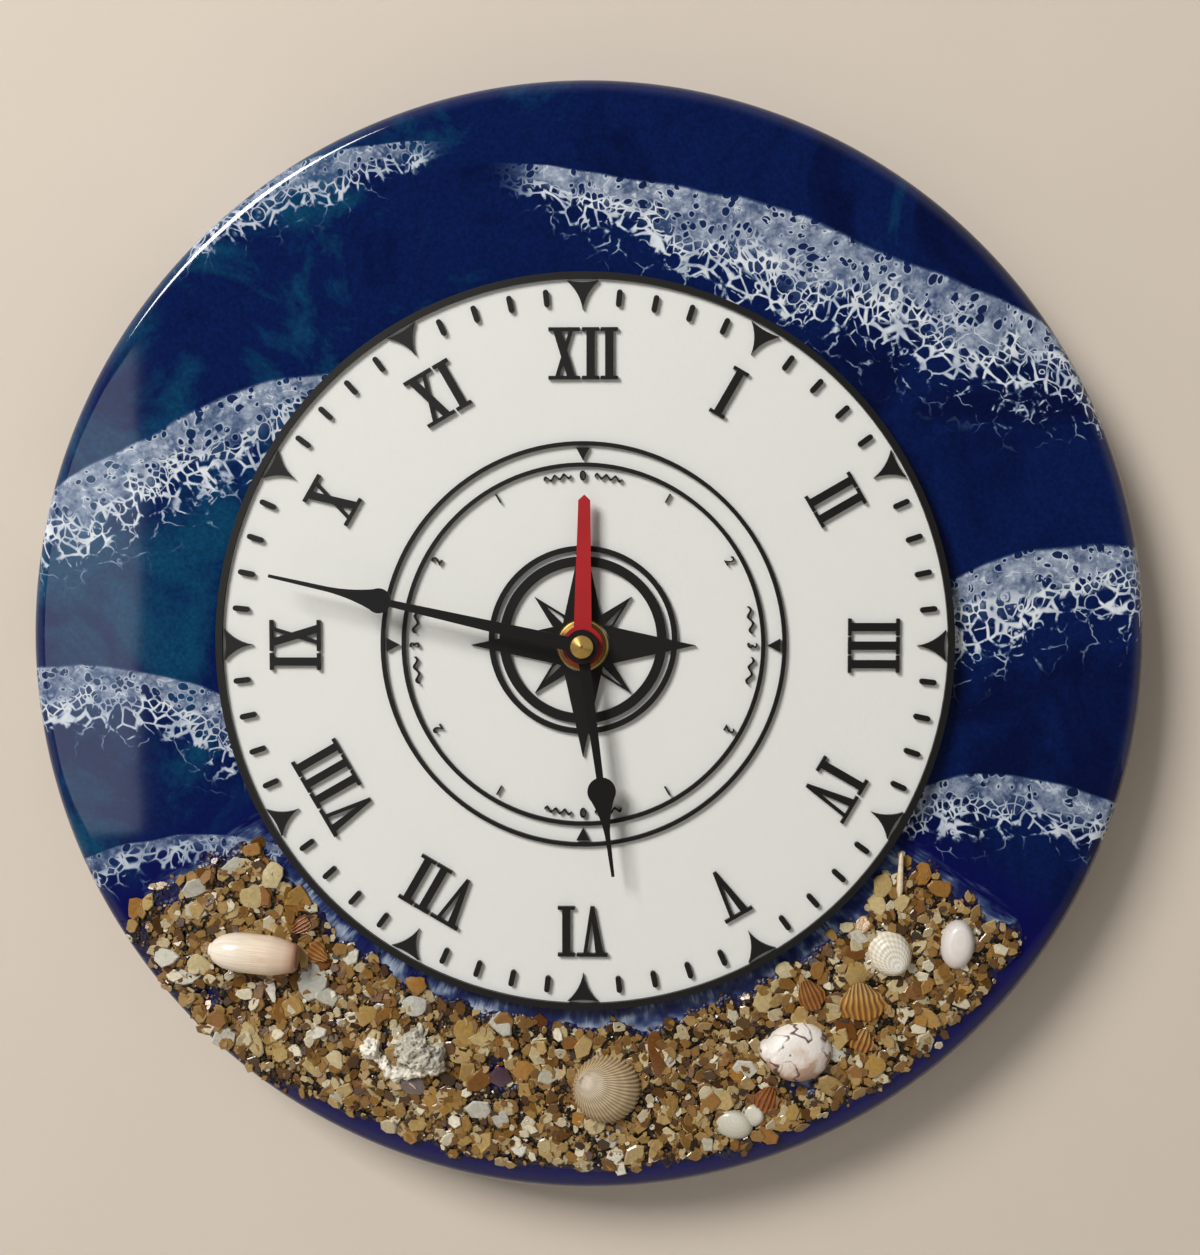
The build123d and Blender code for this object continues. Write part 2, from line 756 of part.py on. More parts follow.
with BuildPart() as dial_rim:
    with BuildSketch(level(resin_front)):
        Circle(dial_radius)
        Circle(rim_inner, mode=Mode.SUBTRACT)
    extrude(amount=dial_thickness + relief_height)
dial_rim.part.label = "dial_rim"
export_step(dial_rim.part, "parts/dial_rim.step")

with BuildPart() as minute_ticks:
    with BuildSketch(level(dial_front)):
        for minute in range(1, 5):
            with PolarLocations(tick_radius, 12, start_angle=6 * minute):
                SlotOverall(tick_length, tick_width)
    extrude(amount=relief_height)
minute_ticks.part.label = "minute_ticks"
export_step(minute_ticks.part, "parts/minute_ticks.step")

marker_base_radius = rim_inner - hour_marker_gap
marker_tip_radius = marker_base_radius - hour_marker_height
with BuildPart() as hour_markers:
    for hour in range(12):
        with BuildSketch(level(dial_front, turn=30 * hour)):
            with BuildLine():
                left_corner = (-hour_marker_base / 2, marker_base_radius)
                right_corner = (hour_marker_base / 2, marker_base_radius)
                tip = (0, marker_tip_radius)
                base_dip = (0, marker_base_radius - hour_marker_hollow / 2)
                flank_height = (marker_base_radius + marker_tip_radius) / 2
                flank_half = hour_marker_base / 4 - hour_marker_hollow
                ThreePointArc(left_corner, base_dip, right_corner)
                ThreePointArc(right_corner, (flank_half, flank_height), tip)
                ThreePointArc(tip, (-flank_half, flank_height), left_corner)
            make_face()
    extrude(amount=relief_height)
hour_markers.part.label = "hour_markers"
export_step(hour_markers.part, "parts/hour_markers.step")


def stroke(foot, head, foot_width, head_width):
    """One slanted stroke of a numeral, from its foot to its head."""
    Polygon(
        (foot - foot_width / 2, 0),
        (foot + foot_width / 2, 0),
        (head + head_width / 2, numeral_height),
        (head - head_width / 2, numeral_height),
        align=None,
    )


def serif(middle, width, at_head):
    """One flat serif at the foot or the head of a stroke."""
    height = numeral_height - numeral_serif / 2 if at_head else numeral_serif / 2
    with Locations((middle, height)):
        Rectangle(width, numeral_serif)


def glyph_i(middle):
    """The numeral I: an upright stem with serifs."""
    stroke(middle, middle, numeral_thick_stroke, numeral_thick_stroke)
    serif(middle, narrow_glyph_width, True)
    serif(middle, narrow_glyph_width, False)


def glyph_v(middle):
    """The numeral V: a thick and a thin stroke that meet at the foot."""
    arm = (wide_glyph_width - narrow_glyph_width) / 2
    stroke(middle, middle - arm, numeral_thin_stroke, numeral_thick_stroke)
    stroke(middle, middle + arm, numeral_thin_stroke, numeral_thin_stroke)
    serif(middle - arm, narrow_glyph_width - numeral_gap, True)
    serif(middle + arm, narrow_glyph_width - numeral_gap, True)


def glyph_x(middle):
    """The numeral X: a thick and a thin stroke that cross."""
    arm = (wide_glyph_width - narrow_glyph_width) / 2
    stroke(middle + arm, middle - arm, numeral_thick_stroke, numeral_thick_stroke)
    stroke(middle - arm, middle + arm, numeral_thin_stroke, numeral_thin_stroke)
    for side in (-arm, arm):
        serif(middle + side, narrow_glyph_width - numeral_gap, True)
        serif(middle + side, narrow_glyph_width - numeral_gap, False)


glyph_makers = {
    "I": (glyph_i, narrow_glyph_width),
    "V": (glyph_v, wide_glyph_width),
    "X": (glyph_x, wide_glyph_width),
}
numerals = ("XII", "I", "II", "III", "IV", "V", "VI", "VII", "VIII", "IX", "X", "XI")
with BuildPart() as hour_numerals:
    for hour, numeral in enumerate(numerals):
        widths = [glyph_makers[letter][1] for letter in numeral]
        cursor = -(sum(widths) + numeral_gap * (len(widths) - 1)) / 2
        foot_plane = level(dial_front, *clock_point(numeral_foot_radius, 30 * hour), turn=30 * hour)
        with BuildSketch(foot_plane):
            for letter, width in zip(numeral, widths):
                glyph_makers[letter][0](cursor + width / 2)
                cursor += width + numeral_gap
    extrude(amount=relief_height)
hour_numerals.part.label = "hour_numerals"
export_step(hour_numerals.part, "parts/hour_numerals.step")

with BuildPart() as tide_rings:
    with BuildSketch(level(dial_front)):
        Circle(tide_ring_outer)
        Circle(tide_ring_outer - tide_ring_line, mode=Mode.SUBTRACT)
        Circle(tide_ring_inner)
        Circle(tide_ring_inner - tide_ring_line, mode=Mode.SUBTRACT)
    extrude(amount=relief_height)
tide_rings.part.label = "tide_rings"
export_step(tide_rings.part, "parts/tide_rings.step")

with BuildPart() as tide_pointers:
    pointer_middle = (tide_ring_outer - tide_ring_line + tide_ring_inner) / 2
    for quarter in range(4):
        with BuildSketch(level(dial_front, turn=90 * quarter)):
            Polygon(
                (-tide_pointer_base / 2, pointer_middle + tide_pointer_height / 2),
                (tide_pointer_base / 2, pointer_middle + tide_pointer_height / 2),
                (0, pointer_middle - tide_pointer_height / 2),
                align=None,
            )
    extrude(amount=relief_height)
tide_pointers.part.label = "tide_pointers"
export_step(tide_pointers.part, "parts/tide_pointers.step")

# Compass rose: two rings and an eight-point star, open round the nut
nut_opening = dial_nut_radius + dial_nut_margin
with BuildPart() as compass_rose:
    with BuildSketch(level(dial_front, 0, compass_rise)):
        Circle(compass_outer_ring)
        Circle(compass_outer_ring - compass_outer_line, mode=Mode.SUBTRACT)
        Circle(compass_inner_ring)
        Circle(compass_inner_ring - compass_inner_line, mode=Mode.SUBTRACT)
    extrude(amount=relief_height)
    for quarter in range(4):
        with BuildSketch(level(dial_front, turn=90 * quarter)):
            Polygon(
                (0, 0),
                (-compass_waist, compass_waist),
                (0, compass_tip),
                (compass_waist, compass_waist),
                align=None,
            )
        extrude(amount=relief_height)
        with BuildSketch(level(dial_front, turn=90 * quarter + 45)):
            shoulder = (compass_diagonal_half, compass_diagonal_shoulder)
            mirrored_shoulder = (-compass_diagonal_half, compass_diagonal_shoulder)
            diagonal_tip = (0, compass_diagonal_tip)
            Polygon((0, 0), mirrored_shoulder, diagonal_tip, shoulder, align=None)
            inset_shoulder = (compass_diagonal_half - compass_outline * 1.3, compass_diagonal_shoulder)
            inset_tip = (compass_outline / 2, compass_diagonal_tip - compass_outline * 6)
            inset_foot = (compass_outline / 2, nut_opening + compass_outline)
            inset_side = (compass_outline * 2, nut_opening + compass_outline)
            Polygon(inset_foot, inset_tip, inset_shoulder, inset_side, align=None, mode=Mode.SUBTRACT)
        extrude(amount=relief_height)
    with BuildSketch(level(dial_front)):
        Circle(nut_opening)
    extrude(amount=relief_height, mode=Mode.SUBTRACT)
compass_rose.part.label = "compass_rose"
export_step(compass_rose.part, "parts/compass_rose.step")

# Threaded bushing of the movement, with the nut that clamps the dial and the gasket behind the board
with BuildPart() as shaft_bushing:
    with BuildSketch(level(works_front - bushing_flange)):
        Circle(bushing_flange_radius)
    extrude(amount=bushing_flange)
    with BuildSketch(level(works_front)):
        Circle(bushing_radius)
    extrude(amount=bushing_front - works_front)
    with BuildSketch(level(works_front - bushing_flange)):
        Circle(bushing_bore)
    extrude(amount=bushing_front - works_front + bushing_flange, mode=Mode.SUBTRACT)
shaft_bushing.part.label = "shaft_bushing"
export_step(shaft_bushing.part, "parts/shaft_bushing.step")

nut_chamfer = 0.4
with BuildPart() as dial_nut:
    with BuildSketch(level(dial_front)):
        Circle(dial_nut_radius)
        Circle(bushing_radius + press_gap, mode=Mode.SUBTRACT)
    extrude(amount=dial_nut_height)
    front_circles = dial_nut.edges().filter_by(GeomType.CIRCLE).group_by(Axis.Y)[0]
    chamfer(front_circles.sort_by(SortBy.RADIUS)[-1], nut_chamfer)
dial_nut.part.label = "dial_nut"
export_step(dial_nut.part, "parts/dial_nut.step")

with BuildPart() as rubber_gasket:
    with BuildSketch(level(case_front)):
        Circle(gasket_radius)
        Circle(bushing_hole, mode=Mode.SUBTRACT)
    extrude(amount=gasket_thickness)
rubber_gasket.part.label = "rubber_gasket"
export_step(rubber_gasket.part, "parts/rubber_gasket.step")

# Front half of the case: a tray for the works over an open battery bay
works_height = case_inner - works_low
works_middle = (case_inner + works_low) / 2
bay_middle = (bay_low + bay_top) / 2
cover_height = case_side / 2 - bay_top
cover_middle = (case_side / 2 + bay_top) / 2
post_x = case_inner - post_inset
post_places = [(x, z) for x in (-post_x, post_x) for z in (works_low + post_inset, post_x)]
with BuildPart() as case_front_half:
    with BuildSketch(level(cover_back)):
        RectangleRounded(case_side, case_side, case_corner)
    extrude(amount=case_depth)
    with BuildSketch(level(cover_back)):
        with Locations((0, works_middle)):
            Rectangle(2 * case_inner, works_height)
    extrude(amount=works_front - cover_back, mode=Mode.SUBTRACT)
    with BuildSketch(level(cover_back)):
        with Locations((0, bay_middle)):
            Rectangle(bay_length, bay_height)
    extrude(amount=case_depth - bay_floor, mode=Mode.SUBTRACT)
    with BuildSketch(level(cover_back)):
        with Locations((0, cover_middle)):
            Rectangle(case_side, cover_height)
    extrude(amount=cover_thickness, mode=Mode.SUBTRACT)
    with BuildSketch(level(plate_front)):
        with Locations(*post_places):
            Circle(post_radius)
    extrude(amount=works_front - plate_front)
    with BuildSketch(level(works_front)):
        Circle(bushing_radius + press_gap)
    extrude(amount=case_wall, mode=Mode.SUBTRACT)
case_front_half.part.label = "case_front"
export_step(case_front_half.part, "parts/case_front.step")

# Middle plate that carries the train's front pivots and the pins of the motion work
motion_levels = [plate_front + motion_first + layer * motion_layer for layer in range(3)]
train_levels = [cover_inner + train_first + layer * train_layer for layer in range(4)]
pivot_hole = arbor_radius + running_fit
pivot_places = (third_place, second_place, step_place, rotor_place)
motion_pin_front = motion_levels[1] + motion_wheel_thickness + tube_lip
idler_pin_front = motion_levels[2] + motion_wheel_thickness + tube_lip
with BuildPart() as middle_plate:
    with BuildSketch(level(plate_back)):
        with Locations((0, works_middle)):
            Rectangle(2 * (case_inner - plate_edge_gap), works_height - 2 * plate_edge_gap)
        Circle(minute_arbor_radius + running_fit, mode=Mode.SUBTRACT)
        with Locations(*pivot_places):
            Circle(pivot_hole, mode=Mode.SUBTRACT)
        with Locations(setting_place):
            Circle(setting_shaft_radius + running_fit, mode=Mode.SUBTRACT)
    extrude(amount=middle_plate_thickness)
    with BuildSketch(level(plate_front)):
        with Locations(motion_place):
            Circle(pin_radius)
    extrude(amount=motion_pin_front - plate_front)
    with BuildSketch(level(plate_front)):
        with Locations(idler_place):
            Circle(pin_radius)
    extrude(amount=idler_pin_front - plate_front)
middle_plate.part.label = "middle_plate"
export_step(middle_plate.part, "parts/middle_plate.step")

# Rear cover with its posts, pivot holes and the cup that the setting knob turns in
core_back = cover_inner + coil_flange_radius + coil_cover_gap - stator_thickness / 2
stator_back = core_back + stator_thickness
circuit_back = cover_inner + circuit_standoff
knob_back = cover_back + knob_recess
cup_floor = knob_back + knob_thickness + knob_gap
cup_radius = knob_radius + knob_gap
core_posts = [(stator_left + stator_leg / 2, coil_line), (stator_right - stator_leg / 2, coil_line)]
circuit_posts = [
    (circuit_left + standoff_inset, circuit_low + standoff_inset),
    (circuit_right - standoff_inset, circuit_high - standoff_inset),
]
with BuildPart() as case_back:
    with BuildSketch(level(cover_back)):
        RectangleRounded(case_side, case_side, case_corner)
        with Locations((0, bay_top - case_side / 2)):
            Rectangle(case_side, case_side, mode=Mode.SUBTRACT)
    extrude(amount=cover_thickness)
    with BuildSketch(level(cover_back, *setting_place)):
        Circle(cup_radius + cup_wall)
    extrude(amount=cup_floor + cup_wall - cover_back)
    with BuildSketch(level(cover_back, *setting_place)):
        Circle(cup_radius)
    extrude(amount=cup_floor - cover_back, mode=Mode.SUBTRACT)
    with BuildSketch(level(cup_floor, *setting_place)):
        Circle(setting_shaft_radius + running_fit)
    extrude(amount=cup_wall, mode=Mode.SUBTRACT)
    with BuildSketch(level(cover_inner)):
        with Locations(*post_places):
            Circle(post_radius)
    extrude(amount=train_room)
    with BuildSketch(level(cover_inner)):
        with Locations(*core_posts):
            Circle(standoff_radius)
    extrude(amount=core_back - cover_inner)
    with BuildSketch(level(cover_inner)):
        with Locations(*circuit_posts):
            Circle(standoff_radius)
    extrude(amount=circuit_standoff)
    with BuildSketch(level(cover_inner - pivot_depth)):
        Circle(minute_arbor_radius + running_fit)
        with Locations(*pivot_places):
            Circle(pivot_hole)
    extrude(amount=pivot_depth, mode=Mode.SUBTRACT)
case_back.part.label = "case_back"
export_step(case_back.part, "parts/case_back.step")

# Battery cell, its two contacts, and the circuit
battery_depth = case_front - bay_floor - battery_play - battery_radius
bay_end = bay_length / 2
battery_right = bay_end - contact_thickness - battery_play
battery_left = battery_right - battery_length
battery_end = Plane(origin=(battery_left, -battery_depth, bay_middle), x_dir=(0, 0, 1), z_dir=(1, 0, 0))
with BuildPart() as battery:
    with BuildSketch(battery_end):
        Circle(battery_radius)
    extrude(amount=battery_length - battery_nub_length)
    with BuildSketch(battery_end.offset(battery_length - battery_nub_length)):
        Circle(battery_nub_radius)
    extrude(amount=battery_nub_length)
battery.part.label = "battery"
export_step(battery.part, "parts/battery.step")

contact_middle = Plane(origin=(0, -battery_depth, bay_middle), x_dir=(1, 0, 0), z_dir=(0, 0, 1))
contact_half = contact_reach / 2
with BuildPart() as positive_contact:
    with BuildSketch(contact_middle):
        with Locations((bay_end - contact_thickness / 2, 0)):
            Rectangle(contact_thickness, contact_reach)
    extrude(amount=contact_width / 2, both=True)
positive_contact.part.label = "positive_contact"
export_step(positive_contact.part, "parts/positive_contact.step")

bow_peak = battery_left - battery_play
contact_face = contact_thickness - bay_end
with BuildPart() as negative_contact:
    with BuildSketch(contact_middle):
        with Locations((contact_thickness / 2 - bay_end, 0)):
            Rectangle(contact_thickness, contact_reach)
        Polygon(
            (contact_face, -contact_half),
            (bow_peak, 0),
            (contact_face, contact_half),
            (contact_face, contact_half - contact_thickness * 2),
            (bow_peak - contact_thickness, 0),
            (contact_face, contact_thickness * 2 - contact_half),
            align=None,
        )
    extrude(amount=contact_width / 2, both=True)
negative_contact.part.label = "negative_contact"
export_step(negative_contact.part, "parts/negative_contact.step")

circuit_front = circuit_back + circuit_thickness
circuit_middle = ((circuit_left + circuit_right) / 2, (circuit_low + circuit_high) / 2)
with BuildPart() as circuit_board:
    with BuildSketch(level(circuit_back, *circuit_middle)):
        Rectangle(circuit_right - circuit_left, circuit_high - circuit_low)
    extrude(amount=circuit_thickness)
circuit_board.part.label = "circuit_board"
export_step(circuit_board.part, "parts/circuit_board.step")

with BuildPart() as chip_blob:
    with BuildSketch(level(circuit_front, *circuit_middle)):
        RegularPolygon(chip_radius, 12)
    extrude(amount=chip_height, taper=45)
chip_blob.part.label = "chip_blob"
export_step(chip_blob.part, "parts/chip_blob.step")

crystal_x = circuit_left + standoff_inset
crystal_foot = (crystal_x, -circuit_front - crystal_radius, circuit_high - crystal_length - standoff_inset)
with BuildPart() as quartz_crystal:
    with BuildSketch(Plane(origin=crystal_foot, x_dir=(1, 0, 0), z_dir=(0, 0, 1))):
        Circle(crystal_radius)
    extrude(amount=crystal_length)
quartz_crystal.part.label = "quartz_crystal"
export_step(quartz_crystal.part, "parts/quartz_crystal.step")

# Stepping motor: stator, core, bobbin and winding
core_depth = core_back + stator_thickness / 2
bobbin_start = stator_left + stator_leg + coil_end_gap
bobbin_length = stator_right - stator_leg - coil_end_gap - bobbin_start
bobbin_plane = Plane(origin=(bobbin_start, -core_depth, coil_line), x_dir=(0, 0, 1), z_dir=(1, 0, 0))
bobbin_tube = math.hypot(core_width, stator_thickness) / 2 + coil_tube_wall
leg_top = coil_line + core_width
stator_x = (stator_left + stator_right) / 2
with BuildPart() as stator:
    with BuildSketch(level(stator_back)):
        with Locations((stator_x, (stator_low + stator_neck) / 2)):
            Rectangle(stator_right - stator_left, stator_neck - stator_low)
        for leg_x, _ in core_posts:
            with Locations((leg_x, (stator_low + leg_top) / 2)):
                Rectangle(stator_leg, leg_top - stator_low)
        with Locations(rotor_place):
            Circle(rotor_magnet_radius + rotor_air_gap, mode=Mode.SUBTRACT)
    extrude(amount=stator_thickness)
stator.part.label = "stator"
export_step(stator.part, "parts/stator.step")

with BuildPart() as coil_core:
    with BuildSketch(level(core_back, stator_x, coil_line)):
        Rectangle(stator_right - stator_left, core_width)
    extrude(amount=stator_thickness)
coil_core.part.label = "coil_core"
export_step(coil_core.part, "parts/coil_core.step")

with BuildPart() as coil_bobbin:
    with BuildSketch(bobbin_plane):
        Circle(bobbin_tube)
    extrude(amount=bobbin_length)
    for flange_at in (0, bobbin_length - coil_flange):
        with BuildSketch(bobbin_plane.offset(flange_at)):
            Circle(coil_flange_radius)
        extrude(amount=coil_flange)
    with BuildSketch(bobbin_plane):
        Rectangle(core_width + 2 * running_fit, stator_thickness + 2 * running_fit)
    extrude(amount=bobbin_length, mode=Mode.SUBTRACT)
coil_bobbin.part.label = "coil_bobbin"
export_step(coil_bobbin.part, "parts/coil_bobbin.step")

with BuildPart() as coil_winding:
    with BuildSketch(bobbin_plane.offset(coil_flange + press_gap)):
        Circle(coil_radius)
        Circle(bobbin_tube + press_gap, mode=Mode.SUBTRACT)
    extrude(amount=bobbin_length - 2 * (coil_flange + press_gap))
coil_winding.part.label = "coil_winding"
export_step(coil_winding.part, "parts/coil_winding.step")

# Train: each arbor stands between the cover and the middle plate
arbor_back = cover_inner - pivot_depth
arbor_length = plate_front - tube_lip - arbor_back
pinion_overhang = (train_pinion_length - train_wheel_thickness) / 2
train = (
    ("step_wheel", step_place, step_turn, (step_teeth, rotor_module, 0), (step_module, 1)),
    ("second_wheel", second_place, second_turn, (second_teeth, step_module, 1), (second_module, 2)),
    ("third_wheel", third_place, third_turn, (third_teeth, second_module, 2), (third_module, 3)),
)
for name, place, turn, (teeth, wheel_module, wheel_layer), (pinion_module, pinion_layer) in train:
    with BuildPart() as train_wheel:
        with BuildSketch(level(arbor_back, *place)):
            Circle(arbor_radius)
        extrude(amount=arbor_length)
        with BuildSketch(level(train_levels[wheel_layer], *place, turn=turn)):
            Polygon(*gear_points(teeth, wheel_module), align=None)
        extrude(amount=train_wheel_thickness)
        with BuildSketch(level(train_levels[pinion_layer] - pinion_overhang, *place, turn=turn)):
            Polygon(*gear_points(train_pinion_teeth, pinion_module), align=None)
        extrude(amount=train_pinion_length)
    train_wheel.part.label = name
    export_step(train_wheel.part, f"parts/{name}.step")

with BuildPart() as centre_wheel:
    with BuildSketch(level(train_levels[3], turn=centre_turn)):
        Polygon(*gear_points(centre_teeth, third_module), align=None)
        Circle(minute_arbor_radius + running_fit, mode=Mode.SUBTRACT)
    extrude(amount=train_wheel_thickness)
centre_wheel.part.label = "centre_wheel"
export_step(centre_wheel.part, "parts/centre_wheel.step")

with BuildPart() as rotor:
    with BuildSketch(level(arbor_back, *rotor_place)):
        Circle(arbor_radius)
    extrude(amount=arbor_length)
    with BuildSketch(level(train_levels[0] - pinion_overhang, *rotor_place, turn=rotor_turn)):
        Polygon(*gear_points(train_pinion_teeth, rotor_module), align=None)
    extrude(amount=train_pinion_length)
rotor.part.label = "rotor"
export_step(rotor.part, "parts/rotor.step")

magnet_back = stator_back + (stator_thickness - rotor_magnet_height) / 2
with BuildPart() as rotor_magnet:
    with BuildSketch(level(magnet_back, *rotor_place)):
        Circle(rotor_magnet_radius)
        Circle(arbor_radius + press_gap, mode=Mode.SUBTRACT)
    extrude(amount=rotor_magnet_height)
rotor_magnet.part.label = "rotor_magnet"
export_step(rotor_magnet.part, "parts/rotor_magnet.step")

# Motion work: minute arbor, motion wheel, hour wheel, tide idler, tide wheel and setting gear
minute_thread = hand_thickness + arbor_thread_length
with BuildPart() as minute_arbor:
    with BuildSketch(level(arbor_back)):
        Circle(minute_arbor_radius)
    extrude(amount=minute_hand_back - arbor_back)
    with BuildSketch(level(motion_levels[0], turn=minute_turn)):
        Polygon(*gear_points(cannon_teeth, cannon_module), align=None)
    extrude(amount=motion_wheel_thickness)
    with BuildSketch(level(minute_hand_back)):
        Circle(arbor_thread_radius)
    extrude(amount=minute_thread)
minute_arbor.part.label = "minute_arbor"
export_step(minute_arbor.part, "parts/minute_arbor.step")

pin_bore = pin_radius + running_fit
motion_hub = motion_levels[1] - motion_levels[0]
with BuildPart() as motion_wheel:
    with BuildSketch(level(motion_levels[0], *motion_place, turn=motion_turn)):
        Polygon(*gear_points(motion_teeth, cannon_module), align=None)
    extrude(amount=motion_wheel_thickness)
    with BuildSketch(level(motion_levels[0], *motion_place, turn=motion_turn)):
        Polygon(*gear_points(motion_pinion_teeth, hour_module), align=None)
    extrude(amount=motion_hub + motion_wheel_thickness)
    with BuildSketch(level(motion_levels[0], *motion_place)):
        Circle(pin_bore)
    extrude(amount=motion_hub + motion_wheel_thickness, mode=Mode.SUBTRACT)
motion_wheel.part.label = "motion_wheel"
export_step(motion_wheel.part, "parts/motion_wheel.step")

with BuildPart() as hour_wheel:
    with BuildSketch(level(motion_levels[1], turn=hour_turn)):
        Polygon(*gear_points(hour_teeth, hour_module), align=None)
    extrude(amount=motion_wheel_thickness)
    with BuildSketch(level(motion_levels[1])):
        Circle(hour_tube_radius)
    extrude(amount=hour_tube_front - motion_levels[1])
    with BuildSketch(level(motion_levels[1])):
        Circle(hour_bore)
    extrude(amount=hour_tube_front - motion_levels[1], mode=Mode.SUBTRACT)
hour_wheel.part.label = "hour_wheel"
export_step(hour_wheel.part, "parts/hour_wheel.step")

idler_hub_radius = idler_module * idler_teeth / 4
with BuildPart() as tide_idler:
    with BuildSketch(level(motion_levels[1], *idler_place, turn=idler_turn)):
        Polygon(*gear_points(idler_teeth, idler_module), align=None)
    extrude(amount=motion_wheel_thickness)
    with BuildSketch(level(motion_levels[1], *idler_place)):
        Circle(idler_hub_radius)
    extrude(amount=motion_layer)
    with BuildSketch(level(motion_levels[2], *idler_place, turn=idler_turn)):
        Polygon(*gear_points(idler_pinion_teeth, tide_module), align=None)
    extrude(amount=motion_wheel_thickness)
    with BuildSketch(level(motion_levels[1], *idler_place)):
        Circle(pin_bore)
    extrude(amount=motion_layer + motion_wheel_thickness, mode=Mode.SUBTRACT)
tide_idler.part.label = "tide_idler"
export_step(tide_idler.part, "parts/tide_idler.step")

with BuildPart() as tide_wheel:
    with BuildSketch(level(motion_levels[2], turn=tide_turn)):
        Polygon(*gear_points(tide_teeth, tide_module), align=None)
    extrude(amount=motion_wheel_thickness)
    with BuildSketch(level(motion_levels[2])):
        Circle(tide_tube_radius)
    extrude(amount=tide_tube_front - motion_levels[2])
    with BuildSketch(level(motion_levels[2])):
        Circle(tide_bore)
    extrude(amount=tide_tube_front - motion_levels[2], mode=Mode.SUBTRACT)
tide_wheel.part.label = "tide_wheel"
export_step(tide_wheel.part, "parts/tide_wheel.step")

knob_grip_depth = 0.45
knob_grips = 16
with BuildPart() as setting_gear:
    with BuildSketch(level(knob_back, *setting_place)):
        Circle(setting_shaft_radius)
    extrude(amount=motion_levels[0] - knob_back)
    with BuildSketch(level(motion_levels[0], *setting_place, turn=setting_turn)):
        Polygon(*gear_points(setting_teeth, cannon_module), align=None)
    extrude(amount=motion_wheel_thickness)
setting_gear.part.label = "setting_gear"
export_step(setting_gear.part, "parts/setting_gear.step")

with BuildPart() as setting_knob:
    with BuildSketch(level(knob_back, *setting_place)):
        Circle(knob_radius)
        with PolarLocations(knob_radius, knob_grips):
            RegularPolygon(knob_grip_depth, 4, mode=Mode.SUBTRACT)
        Circle(setting_shaft_radius + press_gap, mode=Mode.SUBTRACT)
    extrude(amount=knob_thickness)
setting_knob.part.label = "setting_knob"
export_step(setting_knob.part, "parts/setting_knob.step")


def spade_outline(length, head_radius, head_at, neck_at, shaft_root):
    """Outline of a spade hand: hub, tapered shaft, round head, hollow taper and needle."""
    Circle(hand_hub_radius)
    Polygon(
        (-shaft_root / 2, 0),
        (shaft_root / 2, 0),
        (hand_shaft_end / 2, head_at),
        (-hand_shaft_end / 2, head_at),
        align=None,
    )
    with Locations((0, head_at)):
        Circle(head_radius)
    shoulder_angle = math.radians(hand_shoulder_angle)
    shoulder = (head_radius * math.cos(shoulder_angle), head_at + head_radius * math.sin(shoulder_angle))
    neck = (hand_neck / 2, neck_at)
    hollow = (neck[0] + hand_hollow * (shoulder[0] - neck[0]), (shoulder[1] + neck[1]) / 2)
    with BuildLine() as taper:
        ThreePointArc(shoulder, hollow, neck)
        Line(neck, (-neck[0], neck[1]))
        ThreePointArc((-neck[0], neck[1]), (-hollow[0], hollow[1]), (-shoulder[0], shoulder[1]))
        Line((-shoulder[0], shoulder[1]), shoulder)
    make_face(taper.edges())
    Polygon(
        (-hand_neck / 2, neck_at),
        (hand_neck / 2, neck_at),
        (hand_tip / 2, length),
        (-hand_tip / 2, length),
        align=None,
    )


# Hands: the red tide hand below, then the hour hand, then the minute hand under its cap nut
tide_hand_bore = tide_tube_radius + press_gap
with BuildPart() as tide_hand:
    with BuildSketch(level(tide_hand_back, turn=tide_hand_rest)):
        Circle(tide_hub_radius)
        Polygon(
            (-tide_hand_root / 2, 0),
            (tide_hand_root / 2, 0),
            (tide_hand_end / 2, tide_hand_length - tide_hand_point),
            (0, tide_hand_length),
            (-tide_hand_end / 2, tide_hand_length - tide_hand_point),
            align=None,
        )
        Circle(tide_hand_bore, mode=Mode.SUBTRACT)
    extrude(amount=hand_thickness)
    with BuildSketch(level(tide_hand_back - collet_height)):
        Circle(tide_hand_bore + collet_wall)
        Circle(tide_hand_bore, mode=Mode.SUBTRACT)
    extrude(amount=collet_height)
tide_hand.part.label = "tide_hand"
export_step(tide_hand.part, "parts/tide_hand.step")

hour_hand_bore = hour_tube_radius + press_gap
with BuildPart() as hour_hand:
    with BuildSketch(level(hour_hand_back, turn=hour_hand_rest)):
        spade_outline(hour_hand_length, hour_head_radius, hour_head_at, hour_neck_at, hour_shaft_root)
        Circle(hour_hand_bore, mode=Mode.SUBTRACT)
    extrude(amount=hand_thickness)
    with BuildSketch(level(hour_hand_back - collet_height)):
        Circle(hour_hand_bore + collet_wall)
        Circle(hour_hand_bore, mode=Mode.SUBTRACT)
    extrude(amount=collet_height)
hour_hand.part.label = "hour_hand"
export_step(hour_hand.part, "parts/hour_hand.step")

with BuildPart() as minute_hand:
    with BuildSketch(level(minute_hand_back, turn=minute_hand_rest)):
        spade_outline(
            minute_hand_length, minute_head_radius, minute_head_at, minute_neck_at, minute_shaft_root
        )
        Circle(arbor_thread_radius + press_gap, mode=Mode.SUBTRACT)
    extrude(amount=hand_thickness)
minute_hand.part.label = "minute_hand"
export_step(minute_hand.part, "parts/minute_hand.step")

